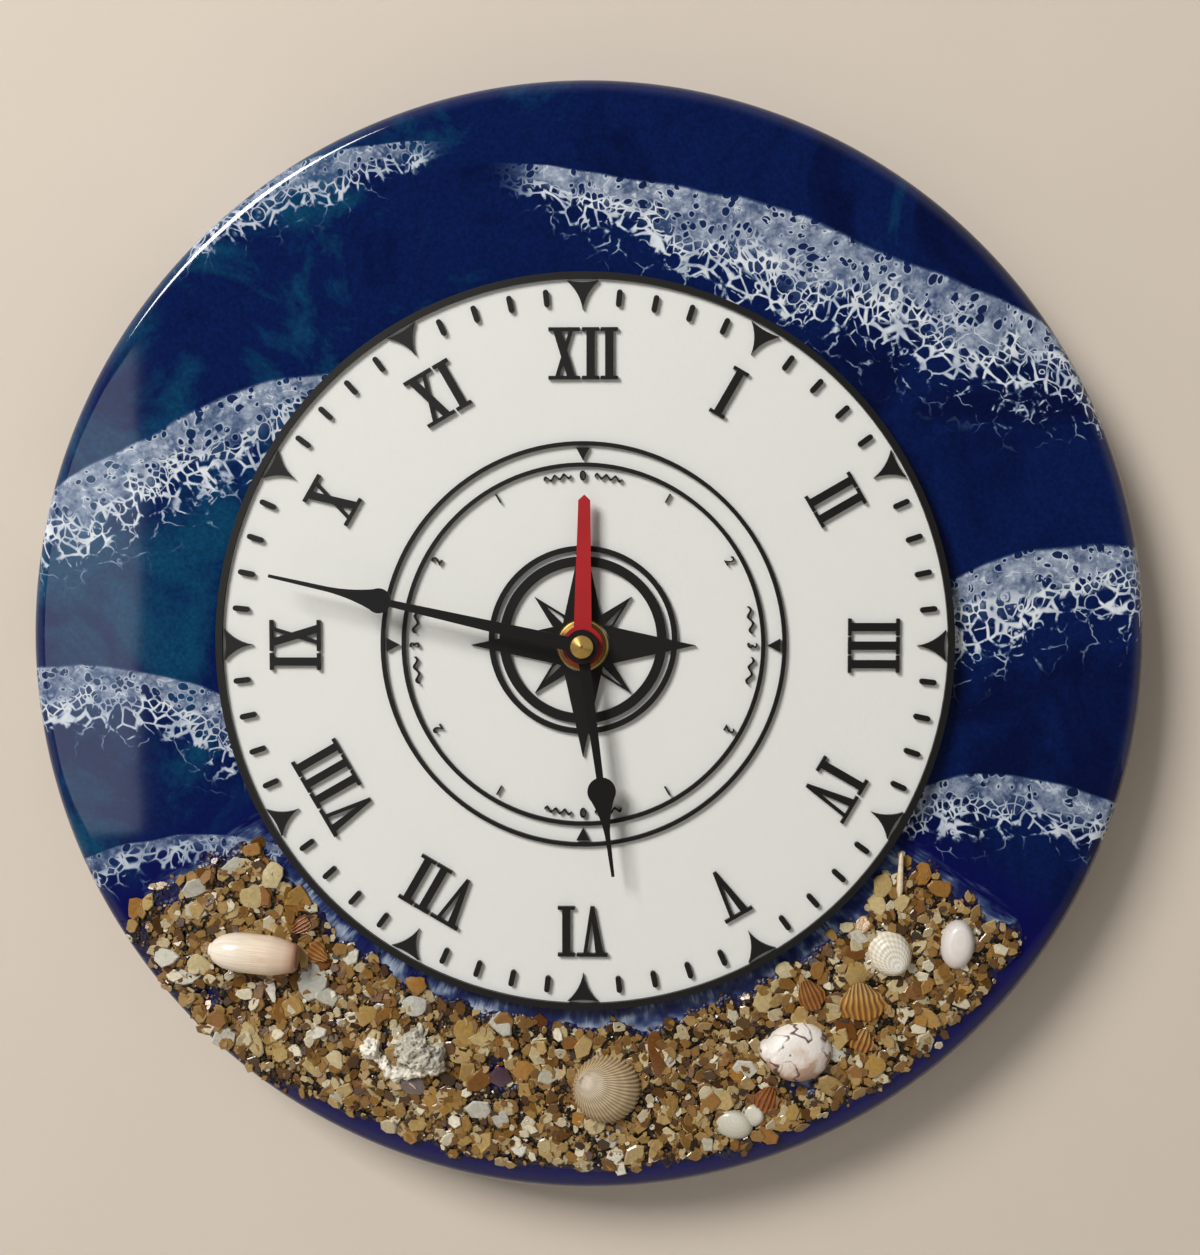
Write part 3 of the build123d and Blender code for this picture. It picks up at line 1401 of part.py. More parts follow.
with BuildPart() as cap_nut:
    with BuildSketch(level(minute_hand_front)):
        Circle(cap_nut_radius)
    extrude(amount=cap_nut_rim)
    with Locations(level(minute_hand_front + cap_nut_rim)):
        Cone(cap_nut_radius, cap_nut_tip, cap_nut_cone, align=(Align.CENTER, Align.CENTER, Align.MIN))
    with BuildSketch(level(minute_hand_front)):
        Circle(arbor_thread_radius + press_gap)
    extrude(amount=arbor_thread_length, mode=Mode.SUBTRACT)
cap_nut.part.label = "cap_nut"
export_step(cap_nut.part, "parts/cap_nut.step")

# Keyhole hanger and its two countersunk screws, flush with the back
screw_places = [level(0, 0, hanger_height + side * screw_offset) for side in (-1, 1)]
standing = (Align.CENTER, Align.CENTER, Align.MIN)
with BuildPart() as hanger_plate:
    with BuildSketch(level(0, 0, hanger_height)):
        SlotOverall(hanger_length, hanger_width, rotation=90)
        with Locations((0, -keyhole_rise / 2)):
            Circle(keyhole_entry_radius, mode=Mode.SUBTRACT)
        SlotOverall(keyhole_rise + keyhole_slot_width, keyhole_slot_width, rotation=90, mode=Mode.SUBTRACT)
    extrude(amount=hanger_thickness)
    with Locations(*screw_places):
        Cone(
            screw_head_radius + press_gap,
            screw_shank_radius + press_gap,
            hanger_thickness,
            align=standing,
            mode=Mode.SUBTRACT,
        )
hanger_plate.part.label = "hanger_plate"
export_step(hanger_plate.part, "parts/hanger_plate.step")

screw_slot = 0.8
screw_slot_depth = 0.9
with BuildPart() as hanger_screws:
    with Locations(*screw_places):
        Cone(screw_head_radius, screw_shank_radius, hanger_thickness, align=standing)
    for place in screw_places:
        with BuildSketch(place.offset(hanger_thickness)):
            Circle(screw_shank_radius - press_gap)
        extrude(amount=screw_length - hanger_thickness - press_gap)
        with BuildSketch(place):
            Rectangle(screw_head_radius, screw_slot)
            Rectangle(screw_slot, screw_head_radius)
        extrude(amount=screw_slot_depth, mode=Mode.SUBTRACT)
hanger_screws.part.label = "hanger_screws"
export_step(hanger_screws.part, "parts/hanger_screws.step")
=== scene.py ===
import json
import math

import bmesh
import bpy
import numpy as np
from bpy.props import FloatProperty, FloatVectorProperty, IntProperty, PointerProperty
from mathutils import Matrix, Vector, noise

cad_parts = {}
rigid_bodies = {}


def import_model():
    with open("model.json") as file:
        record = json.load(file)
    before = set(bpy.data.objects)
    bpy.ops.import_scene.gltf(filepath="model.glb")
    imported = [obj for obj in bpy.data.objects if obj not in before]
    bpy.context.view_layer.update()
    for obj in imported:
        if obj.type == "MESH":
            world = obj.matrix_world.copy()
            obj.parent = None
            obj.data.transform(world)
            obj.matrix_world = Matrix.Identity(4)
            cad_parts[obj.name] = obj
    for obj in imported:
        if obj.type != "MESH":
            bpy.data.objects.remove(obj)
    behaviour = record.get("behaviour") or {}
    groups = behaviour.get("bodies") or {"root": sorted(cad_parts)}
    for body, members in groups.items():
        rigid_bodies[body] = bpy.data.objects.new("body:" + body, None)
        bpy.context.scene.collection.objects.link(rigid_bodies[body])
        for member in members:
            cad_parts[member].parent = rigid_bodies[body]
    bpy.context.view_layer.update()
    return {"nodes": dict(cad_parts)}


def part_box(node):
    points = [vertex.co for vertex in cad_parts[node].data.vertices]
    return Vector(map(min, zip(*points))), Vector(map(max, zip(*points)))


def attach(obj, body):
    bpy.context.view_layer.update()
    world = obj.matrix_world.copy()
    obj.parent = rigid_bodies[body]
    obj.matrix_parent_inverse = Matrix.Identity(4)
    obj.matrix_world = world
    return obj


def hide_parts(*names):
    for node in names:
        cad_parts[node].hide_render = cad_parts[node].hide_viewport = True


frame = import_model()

bl_info = {
    "name": "Resin Tide Clock",
    "version": (1, 0, 0),
    "blender": (4, 5, 0),
    "location": "View3D > Sidebar > Tide Clock",
    "description": "Dresses the resin wall tide clock and sets its stage",
    "category": "Object",
}

# Sizes that come from the frame, in metres. Depth is counted from the wall outward.
MM = 0.001
NODES = frame["nodes"]
RESIN_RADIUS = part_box("resin_coat")[1].x
RESIN_FRONT = -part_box("resin_coat")[0].y
RESIN_BACK = -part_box("resin_coat")[1].y
RESIN_EDGE = 4.5 * MM
BOARD_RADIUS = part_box("board")[1].x
BOARD_FRONT = -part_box("board")[0].y
SAND_FRONT = -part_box("sand_bed")[0].y
DIAL_FRONT = -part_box("dial_plate")[0].y
DIAL_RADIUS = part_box("dial_rim")[1].x
RELIEF_FRONT = -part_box("dial_rim")[0].y
BUSHING_RADIUS = 4.7 * MM

# The beach's edges: radii in metres and clockwise bearings from twelve in degrees
BEACH_INNER = 0.70 * BOARD_RADIUS
BEACH_OUTER = RESIN_RADIUS - 0.043 * BOARD_RADIUS
BEACH_RIGHT = 125.0
BEACH_LEFT = 238.0
BEACH_WIDTH = BEACH_OUTER - BEACH_INNER

# Crests of foam in millimetres: middle x and z, slope, bow, half of the span, width of the foam, strength
CRESTS = (
    (70.0, 110.0, -0.36, 0.0016, 100.0, 27.0, 1.0),
    (-84.0, 128.0, 0.30, 0.0030, 50.0, 15.0, 0.8),
    (-106.0, 64.0, 0.40, 0.0040, 70.0, 25.0, 1.0),
    (-126.0, -6.0, -0.14, 0.0060, 60.0, 20.0, 0.9),
    (126.0, 27.0, 0.20, 0.0070, 66.0, 25.0, 1.0),
    (122.0, -36.0, -0.12, 0.0080, 54.0, 16.0, 0.85),
    (-120.0, -54.0, 0.14, 0.0060, 46.0, 11.0, 0.7),
)


def linear(hex_colour):
    """Linear RGBA of an sRGB hex colour."""
    channels = [int(hex_colour[start:start + 2], 16) / 255 for start in (1, 3, 5)]
    return [c / 12.92 if c <= 0.04045 else ((c + 0.055) / 1.055) ** 2.4 for c in channels] + [1.0]


def smooth_step(low, high, value):
    """Smooth rise from nought at low to one at high."""
    share = min(1.0, max(0.0, (value - low) / (high - low)))
    return share * share * (3 - 2 * share)


def clock_point(radius, bearing):
    """Point (x, z) at a radius and a clockwise bearing from twelve."""
    angle = math.radians(bearing)
    return radius * math.sin(angle), radius * math.cos(angle)


def bearing_of(x, z):
    """Clockwise bearing from twelve of a point on the face, in degrees."""
    return math.degrees(math.atan2(x, z)) % 360


def beach_point(bearing, share):
    """Point (x, z) on the beach by bearing and by share of its width, nought at the dial's side."""
    return clock_point(BEACH_INNER + share * BEACH_WIDTH, bearing)


def seat(place, heading, depth):
    """Matrix that seats a piece on the face: local +Y along the heading and local +Z toward the viewer."""
    angle = math.radians(heading)
    across = Vector((math.cos(angle), 0, -math.sin(angle)))
    along = Vector((math.sin(angle), 0, math.cos(angle)))
    out = Vector((0, -1, 0))
    turn = Matrix((across, along, out)).transposed().to_4x4()
    return Matrix.Translation((place[0], -depth, place[1])) @ turn


class SeaSettings(bpy.types.PropertyGroup):
    """Colours and foam of the poured resin."""

    deep: FloatVectorProperty(
        name="Deep water", description="Colour of the deepest blue", subtype="COLOR", size=4,
        min=0, max=1, default=linear("#040E38"))
    open_water: FloatVectorProperty(
        name="Open water", description="Colour of most of the resin", subtype="COLOR", size=4,
        min=0, max=1, default=linear("#06184A"))
    shallow: FloatVectorProperty(
        name="Shallow water", description="Colour of the green-blue drifts", subtype="COLOR", size=4,
        min=0, max=1, default=linear("#0A3C5E"))
    shore: FloatVectorProperty(
        name="Shore", description="Colour of the resin under and round the sand", subtype="COLOR", size=4,
        min=0, max=1, default=linear("#08094C"))
    foam: FloatVectorProperty(
        name="Foam", description="Colour of the white pigment", subtype="COLOR", size=4,
        min=0, max=1, default=linear("#DDE3E8"))
    haze: FloatVectorProperty(
        name="Haze", description="Colour of the white pigment where it is thin", subtype="COLOR", size=4,
        min=0, max=1, default=linear("#5A749C"))
    cell: FloatProperty(
        name="Foam cell", description="Width of a common cell of the foam", default=0.0024,
        min=0.001, max=0.02, unit="LENGTH", precision=4)


class BeachSettings(bpy.types.PropertyGroup):
    """Sizes and amounts of the shell sand."""

    grain: FloatProperty(
        name="Grain", description="Width of the smallest grains", default=0.0008,
        min=0.0003, max=0.003, unit="LENGTH", precision=4)
    chip: FloatProperty(
        name="Chip", description="Width of the largest common chips", default=0.0052,
        min=0.001, max=0.01, unit="LENGTH", precision=4)
    large_chip: FloatProperty(
        name="Large chip", description="Width of the largest loose chips", default=0.0085,
        min=0.002, max=0.02, unit="LENGTH", precision=4)
    seed: IntProperty(name="Seed", description="Fixes where the grains fall", default=7, min=0)


class DialSettings(bpy.types.PropertyGroup):
    """Finish of the printed dial and its small figures."""

    white: FloatVectorProperty(
        name="Plate", description="Colour of the printed plate", subtype="COLOR", size=4,
        min=0, max=1, default=linear("#E3E5E2"))
    black: FloatVectorProperty(
        name="Marks", description="Colour of the raised marks", subtype="COLOR", size=4,
        min=0, max=1, default=linear("#121211"))
    print_pitch: FloatProperty(
        name="Print pitch", description="Distance between printed lines", default=0.00042,
        min=0.0002, max=0.002, unit="LENGTH", precision=5)
    figure_height: FloatProperty(
        name="Figure height", description="Height of the small figures", default=0.0027,
        min=0.001, max=0.008, unit="LENGTH", precision=4)
    figure_radius: FloatProperty(
        name="Figure radius", description="Distance of the small figures from the hub", default=0.0457,
        min=0.03, max=0.06, unit="LENGTH", precision=4)


class StageSettings(bpy.types.PropertyGroup):
    """Backdrop, light and camera."""

    wall: FloatVectorProperty(
        name="Wall", description="Colour of the wall", subtype="COLOR", size=4,
        min=0, max=1, default=linear("#D5CBBE"))
    distance: FloatProperty(
        name="Camera distance", description="From the hub to the camera", default=0.42,
        min=0.2, max=5, unit="LENGTH")
    elevation: FloatProperty(
        name="Camera height", description="Angle of the camera above the hub",
        default=math.radians(3.6), subtype="ANGLE")
    azimuth: FloatProperty(
        name="Camera side", description="Angle of the camera to the right of the hub",
        default=math.radians(2.2), subtype="ANGLE")
    field: FloatProperty(
        name="Field", description="Height of the picture at the dial", default=0.3400,
        min=0.1, max=2, unit="LENGTH", precision=4)


# Sockets of the mix node by place, because its names repeat
MIX_SHARE = 0
NUMBER_A = 2
NUMBER_B = 3
COLOUR_A = 6
COLOUR_B = 7
MIXED_COLOUR = 2

# Scale at which the bands of a wave texture lie one unit apart
WAVE_SCALE = math.pi / 10


def add_node(tree, kind, inputs=None, stops=None, **settings):
    """Adds one node with its settings, its ramp stops, and a value or link for each input.

    Inputs go by name, or by place where a node's names repeat. A node given as an input is linked by its
    first output, and a stop's colour may be sRGB hex.
    """
    node = tree.nodes.new(kind)
    for name, value in settings.items():
        setattr(node, name, value)
    for name, value in (inputs or {}).items():
        if isinstance(value, bpy.types.Node):
            value = value.outputs[0]
        if isinstance(value, bpy.types.NodeSocket):
            tree.links.new(value, node.inputs[name])
        else:
            node.inputs[name].default_value = value
    for index, (place, colour) in enumerate(stops or ()):
        elements = node.color_ramp.elements
        stop = elements[index] if index < len(elements) else elements.new(place)
        stop.position = place
        stop.color = linear(colour) if isinstance(colour, str) else colour
    return node


def start_material(name):
    """New material with an empty tree, and the object's own coordinates in millimetres."""
    material = bpy.data.materials.new(name)
    material.use_nodes = True
    tree = material.node_tree
    tree.nodes.clear()
    place = add_node(tree, "ShaderNodeTexCoord").outputs["Object"]
    scaled = add_node(tree, "ShaderNodeVectorMath", {0: place, "Scale": 1 / MM}, operation="SCALE")
    return material, tree, scaled


def close_material(material, shader):
    """Adds the output of a material, which is then whole."""
    add_node(material.node_tree, "ShaderNodeOutputMaterial", {"Surface": shader})
    return material


def blue_water(tree, place, axes, sea):
    """Colour of the resin itself: drifts of blue with a faint pearl, and a darker shore round the beach."""
    drift = add_node(tree, "ShaderNodeTexNoise", {
        "Vector": place, "Scale": 1 / 46, "Detail": 5.0, "Roughness": 0.6, "Distortion": 1.2})
    side = add_node(tree, "ShaderNodeMapRange", {
        "Value": axes.outputs["X"], "From Min": -150.0, "From Max": 150.0, "To Min": 0.09, "To Max": -0.10})
    tone = add_node(tree, "ShaderNodeMath", {0: drift, 1: side}, operation="ADD")
    water = add_node(tree, "ShaderNodeValToRGB", {"Fac": tone}, stops=[
        (0.34, sea.deep), (0.47, sea.open_water), (0.56, sea.open_water), (0.70, sea.shallow)])
    pearl = add_node(tree, "ShaderNodeTexNoise", {"Vector": place, "Scale": 1 / 0.9, "Detail": 2.0})
    pearl_shade = add_node(tree, "ShaderNodeMapRange", {
        "Value": pearl, "From Min": 0.3, "From Max": 0.7, "To Min": 0.78, "To Max": 1.28})
    pearled = add_node(tree, "ShaderNodeMix", {
        MIX_SHARE: 1.0, COLOUR_A: water, COLOUR_B: pearl_shade}, data_type="RGBA", blend_type="MULTIPLY")
    off_beach_gap = add_node(tree, "ShaderNodeAttribute", attribute_name="off_beach")
    near_beach = add_node(tree, "ShaderNodeMapRange", {
        "Value": off_beach_gap.outputs["Fac"], "From Min": 4.0, "From Max": 22.0, "To Min": 1.0,
        "To Max": 0.0}, interpolation_type="SMOOTHSTEP")
    return add_node(tree, "ShaderNodeMix", {
        MIX_SHARE: near_beach, COLOUR_A: pearled.outputs[MIXED_COLOUR], COLOUR_B: sea.shore},
        data_type="RGBA")


def foam_film(tree, place, moved, share, wisps, cluster, cell):
    """Veil of white below a crest: clouded and mottled, with clusters of bright-rimmed round holes."""
    fall = add_node(tree, "ShaderNodeMapRange", {
        "Value": share, "From Min": 0.22, "From Max": 0.70, "To Min": 1.0, "To Max": 0.0},
        interpolation_type="SMOOTHSTEP")
    cloud = add_node(tree, "ShaderNodeMapRange", {
        "Value": wisps, "From Min": 0.36, "From Max": 0.68, "To Min": 0.24, "To Max": 0.58})
    mottle = add_node(tree, "ShaderNodeTexNoise", {"Vector": place, "Scale": 1 / 0.8, "Detail": 2.0})
    mottled = add_node(tree, "ShaderNodeMapRange", {
        "Value": mottle, "From Min": 0.3, "From Max": 0.7, "To Min": 0.84, "To Max": 1.14})
    body = add_node(tree, "ShaderNodeMath", {0: cloud, 1: mottled}, operation="MULTIPLY")
    film = add_node(tree, "ShaderNodeMath", {0: body, 1: fall}, operation="MULTIPLY")
    cells = add_node(tree, "ShaderNodeTexVoronoi", {"Vector": moved, "Scale": MM / cell})
    random = add_node(tree, "ShaderNodeSeparateColor", {"Color": cells.outputs["Color"]})
    pick = add_node(tree, "ShaderNodeMath", {
        0: cluster, 1: 2.2, 2: random.outputs["Red"]}, operation="MULTIPLY_ADD")
    size = add_node(tree, "ShaderNodeMapRange", {
        "Value": pick, "From Min": 1.20, "From Max": 1.95, "To Min": -0.10, "To Max": 0.50})
    gap = add_node(tree, "ShaderNodeMath", {0: cells, 1: size}, operation="SUBTRACT")
    hole = add_node(tree, "ShaderNodeMapRange", {
        "Value": gap, "From Min": 0.0, "From Max": 0.08, "To Min": 0.06, "To Max": 1.0},
        interpolation_type="SMOOTHSTEP")
    rim = add_node(tree, "ShaderNodeMapRange", {
        "Value": gap, "From Min": 0.05, "From Max": 0.22, "To Min": 0.30, "To Max": 0.0})
    rimmed = add_node(tree, "ShaderNodeMath", {0: rim, 1: fall, 2: film}, operation="MULTIPLY_ADD")
    return add_node(tree, "ShaderNodeMath", {0: rimmed, 1: hole}, operation="MULTIPLY")


def foam_net(tree, moved, share, wisps, cluster, cell):
    """Net of white past the film: round cells, large bubbles that push them aside, and a ragged far edge."""
    # a wall stands where a place's two nearest middles draw level, and thins away from the crest
    wall = add_node(tree, "ShaderNodeMapRange", {
        "Value": share, "From Min": 0.25, "From Max": 0.95, "To Min": 0.14, "To Max": 0.05})
    nets = []
    for width in (cell, 1.9 * cell):
        nearest = add_node(tree, "ShaderNodeTexVoronoi", {"Vector": moved, "Scale": MM / width})
        second = add_node(tree, "ShaderNodeTexVoronoi", {"Vector": moved, "Scale": MM / width}, feature="F2")
        level = add_node(tree, "ShaderNodeMath", {0: second, 1: nearest}, operation="SUBTRACT")
        level_gap = add_node(tree, "ShaderNodeMath", {0: wall, 1: level}, operation="SUBTRACT")
        nets.append(add_node(tree, "ShaderNodeMapRange", {
            "Value": level_gap, "From Min": -0.09, "From Max": 0.03}, interpolation_type="SMOOTHSTEP"))
    wide_here = add_node(tree, "ShaderNodeMapRange", {
        "Value": share, "From Min": 0.56, "From Max": 0.66}, interpolation_type="SMOOTHSTEP")
    cells = add_node(tree, "ShaderNodeMix", {
        MIX_SHARE: wide_here, NUMBER_A: nets[0], NUMBER_B: nets[1]}, data_type="FLOAT")

    # some bubbles are large, and keep a bright rim of their own
    bubbles = add_node(tree, "ShaderNodeTexVoronoi", {"Vector": moved, "Scale": MM / cell / 2.2})
    random = add_node(tree, "ShaderNodeSeparateColor", {"Color": bubbles.outputs["Color"]})
    size = add_node(tree, "ShaderNodeMapRange", {
        "Value": random.outputs["Green"], "From Min": 0.35, "From Max": 1.0, "To Min": -0.20, "To Max": 0.46})
    gap = add_node(tree, "ShaderNodeMath", {0: bubbles, 1: size}, operation="SUBTRACT")
    outside = add_node(tree, "ShaderNodeMapRange", {
        "Value": gap, "From Min": -0.02, "From Max": 0.03}, interpolation_type="SMOOTHSTEP")
    rim = add_node(tree, "ShaderNodeMapRange", {
        "Value": gap, "From Min": 0.03, "From Max": 0.09, "To Min": 1.0, "To Max": 0.0},
        interpolation_type="SMOOTHSTEP")
    bubbled = add_node(tree, "ShaderNodeMath", {0: size, 1: 0.10}, operation="GREATER_THAN")
    rim_here = add_node(tree, "ShaderNodeMath", {0: rim, 1: bubbled}, operation="MULTIPLY")
    walls = add_node(tree, "ShaderNodeMath", {0: cells, 1: rim_here}, operation="MAXIMUM")
    net = add_node(tree, "ShaderNodeMath", {0: walls, 1: outside}, operation="MULTIPLY")

    # the net starts inside the film, ends raggedly, and is whiter in some clusters
    start = add_node(tree, "ShaderNodeMapRange", {
        "Value": share, "From Min": 0.24, "From Max": 0.44}, interpolation_type="SMOOTHSTEP")
    ragged = add_node(tree, "ShaderNodeMath", {0: wisps, 1: -0.9, 2: share}, operation="MULTIPLY_ADD")
    end = add_node(tree, "ShaderNodeMapRange", {
        "Value": ragged, "From Min": 0.34, "From Max": 0.50, "To Min": 1.0, "To Max": 0.0},
        interpolation_type="SMOOTHSTEP")
    tone = add_node(tree, "ShaderNodeMapRange", {
        "Value": cluster, "From Min": 0.34, "From Max": 0.60, "To Min": 0.55, "To Max": 1.0})
    zone = add_node(tree, "ShaderNodeMath", {0: start, 1: end}, operation="MULTIPLY")
    toned = add_node(tree, "ShaderNodeMath", {0: tone, 1: net}, operation="MULTIPLY")
    return add_node(tree, "ShaderNodeMath", {0: zone, 1: toned}, operation="MULTIPLY")


def foam_threads(tree, frayed, share, wisps, cell):
    """Loose branching lines of white that run on past the net."""
    cells = add_node(tree, "ShaderNodeTexVoronoi", {
        "Vector": frayed, "Scale": MM / cell / 3.6}, feature="DISTANCE_TO_EDGE")
    line = add_node(tree, "ShaderNodeMapRange", {
        "Value": cells, "From Min": 0.006, "From Max": 0.040, "To Min": 1.0, "To Max": 0.0},
        interpolation_type="SMOOTHSTEP")
    amount = add_node(tree, "ShaderNodeMapRange", {
        "Value": share, "From Min": 0.70, "From Max": 1.45, "To Min": 0.85, "To Max": 0.0})
    breaks = add_node(tree, "ShaderNodeMapRange", {
        "Value": wisps, "From Min": 0.44, "From Max": 0.58}, interpolation_type="SMOOTHSTEP")
    body = add_node(tree, "ShaderNodeMath", {0: line, 1: amount}, operation="MULTIPLY")
    return add_node(tree, "ShaderNodeMath", {0: body, 1: breaks}, operation="MULTIPLY")


def beach_wash(tree, place, axes, cluster):
    """Combed white haze along the dial's side and the ends of the beach."""
    bearing = add_node(tree, "ShaderNodeMath", {
        0: axes.outputs["X"], 1: axes.outputs["Z"]}, operation="ARCTAN2")
    reach = add_node(tree, "ShaderNodeVectorMath", {0: place}, operation="LENGTH")
    polar = add_node(tree, "ShaderNodeCombineXYZ", {"X": bearing, "Y": reach.outputs["Value"]})
    combed = add_node(tree, "ShaderNodeVectorMath", {0: polar, 1: (120.0, 0.16, 1.0)}, operation="MULTIPLY")
    comb = add_node(tree, "ShaderNodeTexNoise", {
        "Vector": combed, "Scale": 0.8, "Detail": 4.0, "Roughness": 0.6})
    gap = add_node(tree, "ShaderNodeAttribute", attribute_name="wash")
    combed_gap = add_node(tree, "ShaderNodeMath", {
        0: comb, 1: -14.0, 2: gap.outputs["Fac"]}, operation="MULTIPLY_ADD")
    wash = add_node(tree, "ShaderNodeMapRange", {
        "Value": combed_gap, "From Min": -7.5, "From Max": 1.5, "To Min": 0.60, "To Max": 0.0},
        interpolation_type="SMOOTHSTEP")
    patch = add_node(tree, "ShaderNodeMapRange", {
        "Value": cluster, "From Min": 0.40, "From Max": 0.64, "To Min": 0.10, "To Max": 1.0})
    return add_node(tree, "ShaderNodeMath", {0: wash, 1: patch}, operation="MULTIPLY")


# Tinted casting epoxy, poured and left to level: still, deep and wet-looking. Drifts of blue pigment and a
# faint pearl lie under the skin. White pigment, opened by heat, starts crisp at each crest, thins to a veil
# with round holes, breaks into a net of cells and ends in loose threads.
def poured_epoxy(sea):
    material, tree, place = start_material("poured_epoxy")
    axes = add_node(tree, "ShaderNodeSeparateXYZ", {"Vector": place})
    water = blue_water(tree, place, axes, sea)

    # the pigment is pulled about at two scales, so that its cells lean and differ
    slow = add_node(tree, "ShaderNodeTexNoise", {"Vector": place, "Scale": 1 / 24, "Detail": 1.0})
    slow_pull = add_node(tree, "ShaderNodeVectorMath", {
        0: slow.outputs["Color"], 1: (0.5, 0.5, 0.5)}, operation="SUBTRACT")
    slow_moved = add_node(tree, "ShaderNodeVectorMath", {
        0: slow_pull, 1: (10.0, 10.0, 10.0), 2: place}, operation="MULTIPLY_ADD")
    quick = add_node(tree, "ShaderNodeTexNoise", {"Vector": place, "Scale": 1 / 3.2, "Detail": 1.0})
    quick_pull = add_node(tree, "ShaderNodeVectorMath", {
        0: quick.outputs["Color"], 1: (0.5, 0.5, 0.5)}, operation="SUBTRACT")
    moved = add_node(tree, "ShaderNodeVectorMath", {
        0: quick_pull, 1: (0.8, 0.8, 0.8), 2: slow_moved}, operation="MULTIPLY_ADD")
    frayed = add_node(tree, "ShaderNodeVectorMath", {
        0: quick_pull, 1: (3.6, 3.6, 3.6), 2: slow_moved}, operation="MULTIPLY_ADD")
    wisps = add_node(tree, "ShaderNodeTexNoise", {
        "Vector": slow_moved, "Scale": 1 / 4, "Detail": 5.0, "Roughness": 0.6})
    patch = add_node(tree, "ShaderNodeTexNoise", {"Vector": slow_moved, "Scale": 1 / 15, "Detail": 2.0})
    cluster = add_node(tree, "ShaderNodeTexNoise", {"Vector": slow_moved, "Scale": 1 / 7, "Detail": 2.0})

    # how far below its crest a place lies, as a share of the foam's width
    below = add_node(tree, "ShaderNodeAttribute", attribute_name="below")
    strength = add_node(tree, "ShaderNodeAttribute", attribute_name="strength")
    uneven = add_node(tree, "ShaderNodeMath", {0: patch, 1: 0.9, 2: -0.45}, operation="MULTIPLY_ADD")
    share = add_node(tree, "ShaderNodeMath", {0: below.outputs["Fac"], 1: uneven}, operation="ADD")

    # the film, the net and the threads make the foam, which is crisp at its crest
    film = foam_film(tree, place, moved, share, wisps, cluster, sea.cell)
    net = foam_net(tree, moved, share, wisps, cluster, sea.cell)
    threads = foam_threads(tree, frayed, share, wisps, sea.cell)
    lace = add_node(tree, "ShaderNodeMath", {0: net, 1: threads}, operation="MAXIMUM")
    foam = add_node(tree, "ShaderNodeMath", {0: lace, 1: film}, operation="MAXIMUM")
    crisp = add_node(tree, "ShaderNodeMapRange", {
        "Value": below.outputs["Fac"], "From Min": -0.02, "From Max": 0.03}, interpolation_type="SMOOTHSTEP")
    foam_edged = add_node(tree, "ShaderNodeMath", {0: foam, 1: crisp}, operation="MULTIPLY")
    foam_here = add_node(tree, "ShaderNodeMath", {
        0: foam_edged, 1: strength.outputs["Fac"]}, operation="MULTIPLY", use_clamp=True)
    wash = beach_wash(tree, place, axes, cluster)
    white = add_node(tree, "ShaderNodeMath", {0: foam_here, 1: wash}, operation="MAXIMUM")

    # thin pigment lets the blue through, and only thick pigment is white
    thin_share = add_node(tree, "ShaderNodeMapRange", {"Value": white, "From Min": 0.0, "From Max": 0.55})
    thick_share = add_node(tree, "ShaderNodeMapRange", {"Value": white, "From Min": 0.20, "From Max": 1.0})
    hazed = add_node(tree, "ShaderNodeMix", {
        MIX_SHARE: thin_share, COLOUR_A: water.outputs[MIXED_COLOUR], COLOUR_B: sea.haze}, data_type="RGBA")
    colour = add_node(tree, "ShaderNodeMix", {
        MIX_SHARE: thick_share, COLOUR_A: hazed.outputs[MIXED_COLOUR], COLOUR_B: sea.foam}, data_type="RGBA")

    # the levelled skin keeps a faint swell that bends its reflections
    skin = add_node(tree, "ShaderNodeTexNoise", {"Vector": place, "Scale": 1 / 38, "Detail": 1.0})
    bump = add_node(tree, "ShaderNodeBump", {"Height": skin, "Strength": 0.25, "Distance": 0.4 * MM})
    shader = add_node(tree, "ShaderNodeBsdfPrincipled", {
        "Base Color": colour.outputs[MIXED_COLOUR], "Roughness": 0.05, "IOR": 1.50, "Normal": bump})
    return close_material(material, shader)


# Worn shell in a skin of resin: each piece has its own tone, faint growth streaks, and a wet highlight.
def tumbled_shell(name, tones, wet_roughness):
    material, tree, place = start_material(name)
    tint = add_node(tree, "ShaderNodeAttribute", attribute_name="tint")
    tone = add_node(tree, "ShaderNodeValToRGB", {"Fac": tint.outputs["Fac"]}, stops=tones)
    streak = add_node(tree, "ShaderNodeTexNoise", {
        "Vector": place, "Scale": 1 / 1.1, "Detail": 3.0, "Roughness": 0.6, "Distortion": 0.8})
    shade = add_node(tree, "ShaderNodeMapRange", {
        "Value": streak, "From Min": 0.25, "From Max": 0.75, "To Min": 0.74, "To Max": 1.20})
    colour = add_node(tree, "ShaderNodeMix", {
        MIX_SHARE: 1.0, COLOUR_A: tone, COLOUR_B: shade}, data_type="RGBA", blend_type="MULTIPLY")
    bump = add_node(tree, "ShaderNodeBump", {"Height": streak, "Strength": 0.35, "Distance": 0.25 * MM})
    shader = add_node(tree, "ShaderNodeBsdfPrincipled", {
        "Base Color": colour.outputs[MIXED_COLOUR], "Roughness": wet_roughness, "IOR": 1.50, "Normal": bump,
        "Coat Weight": 0.4, "Coat Roughness": 0.08})
    return close_material(material, shader)


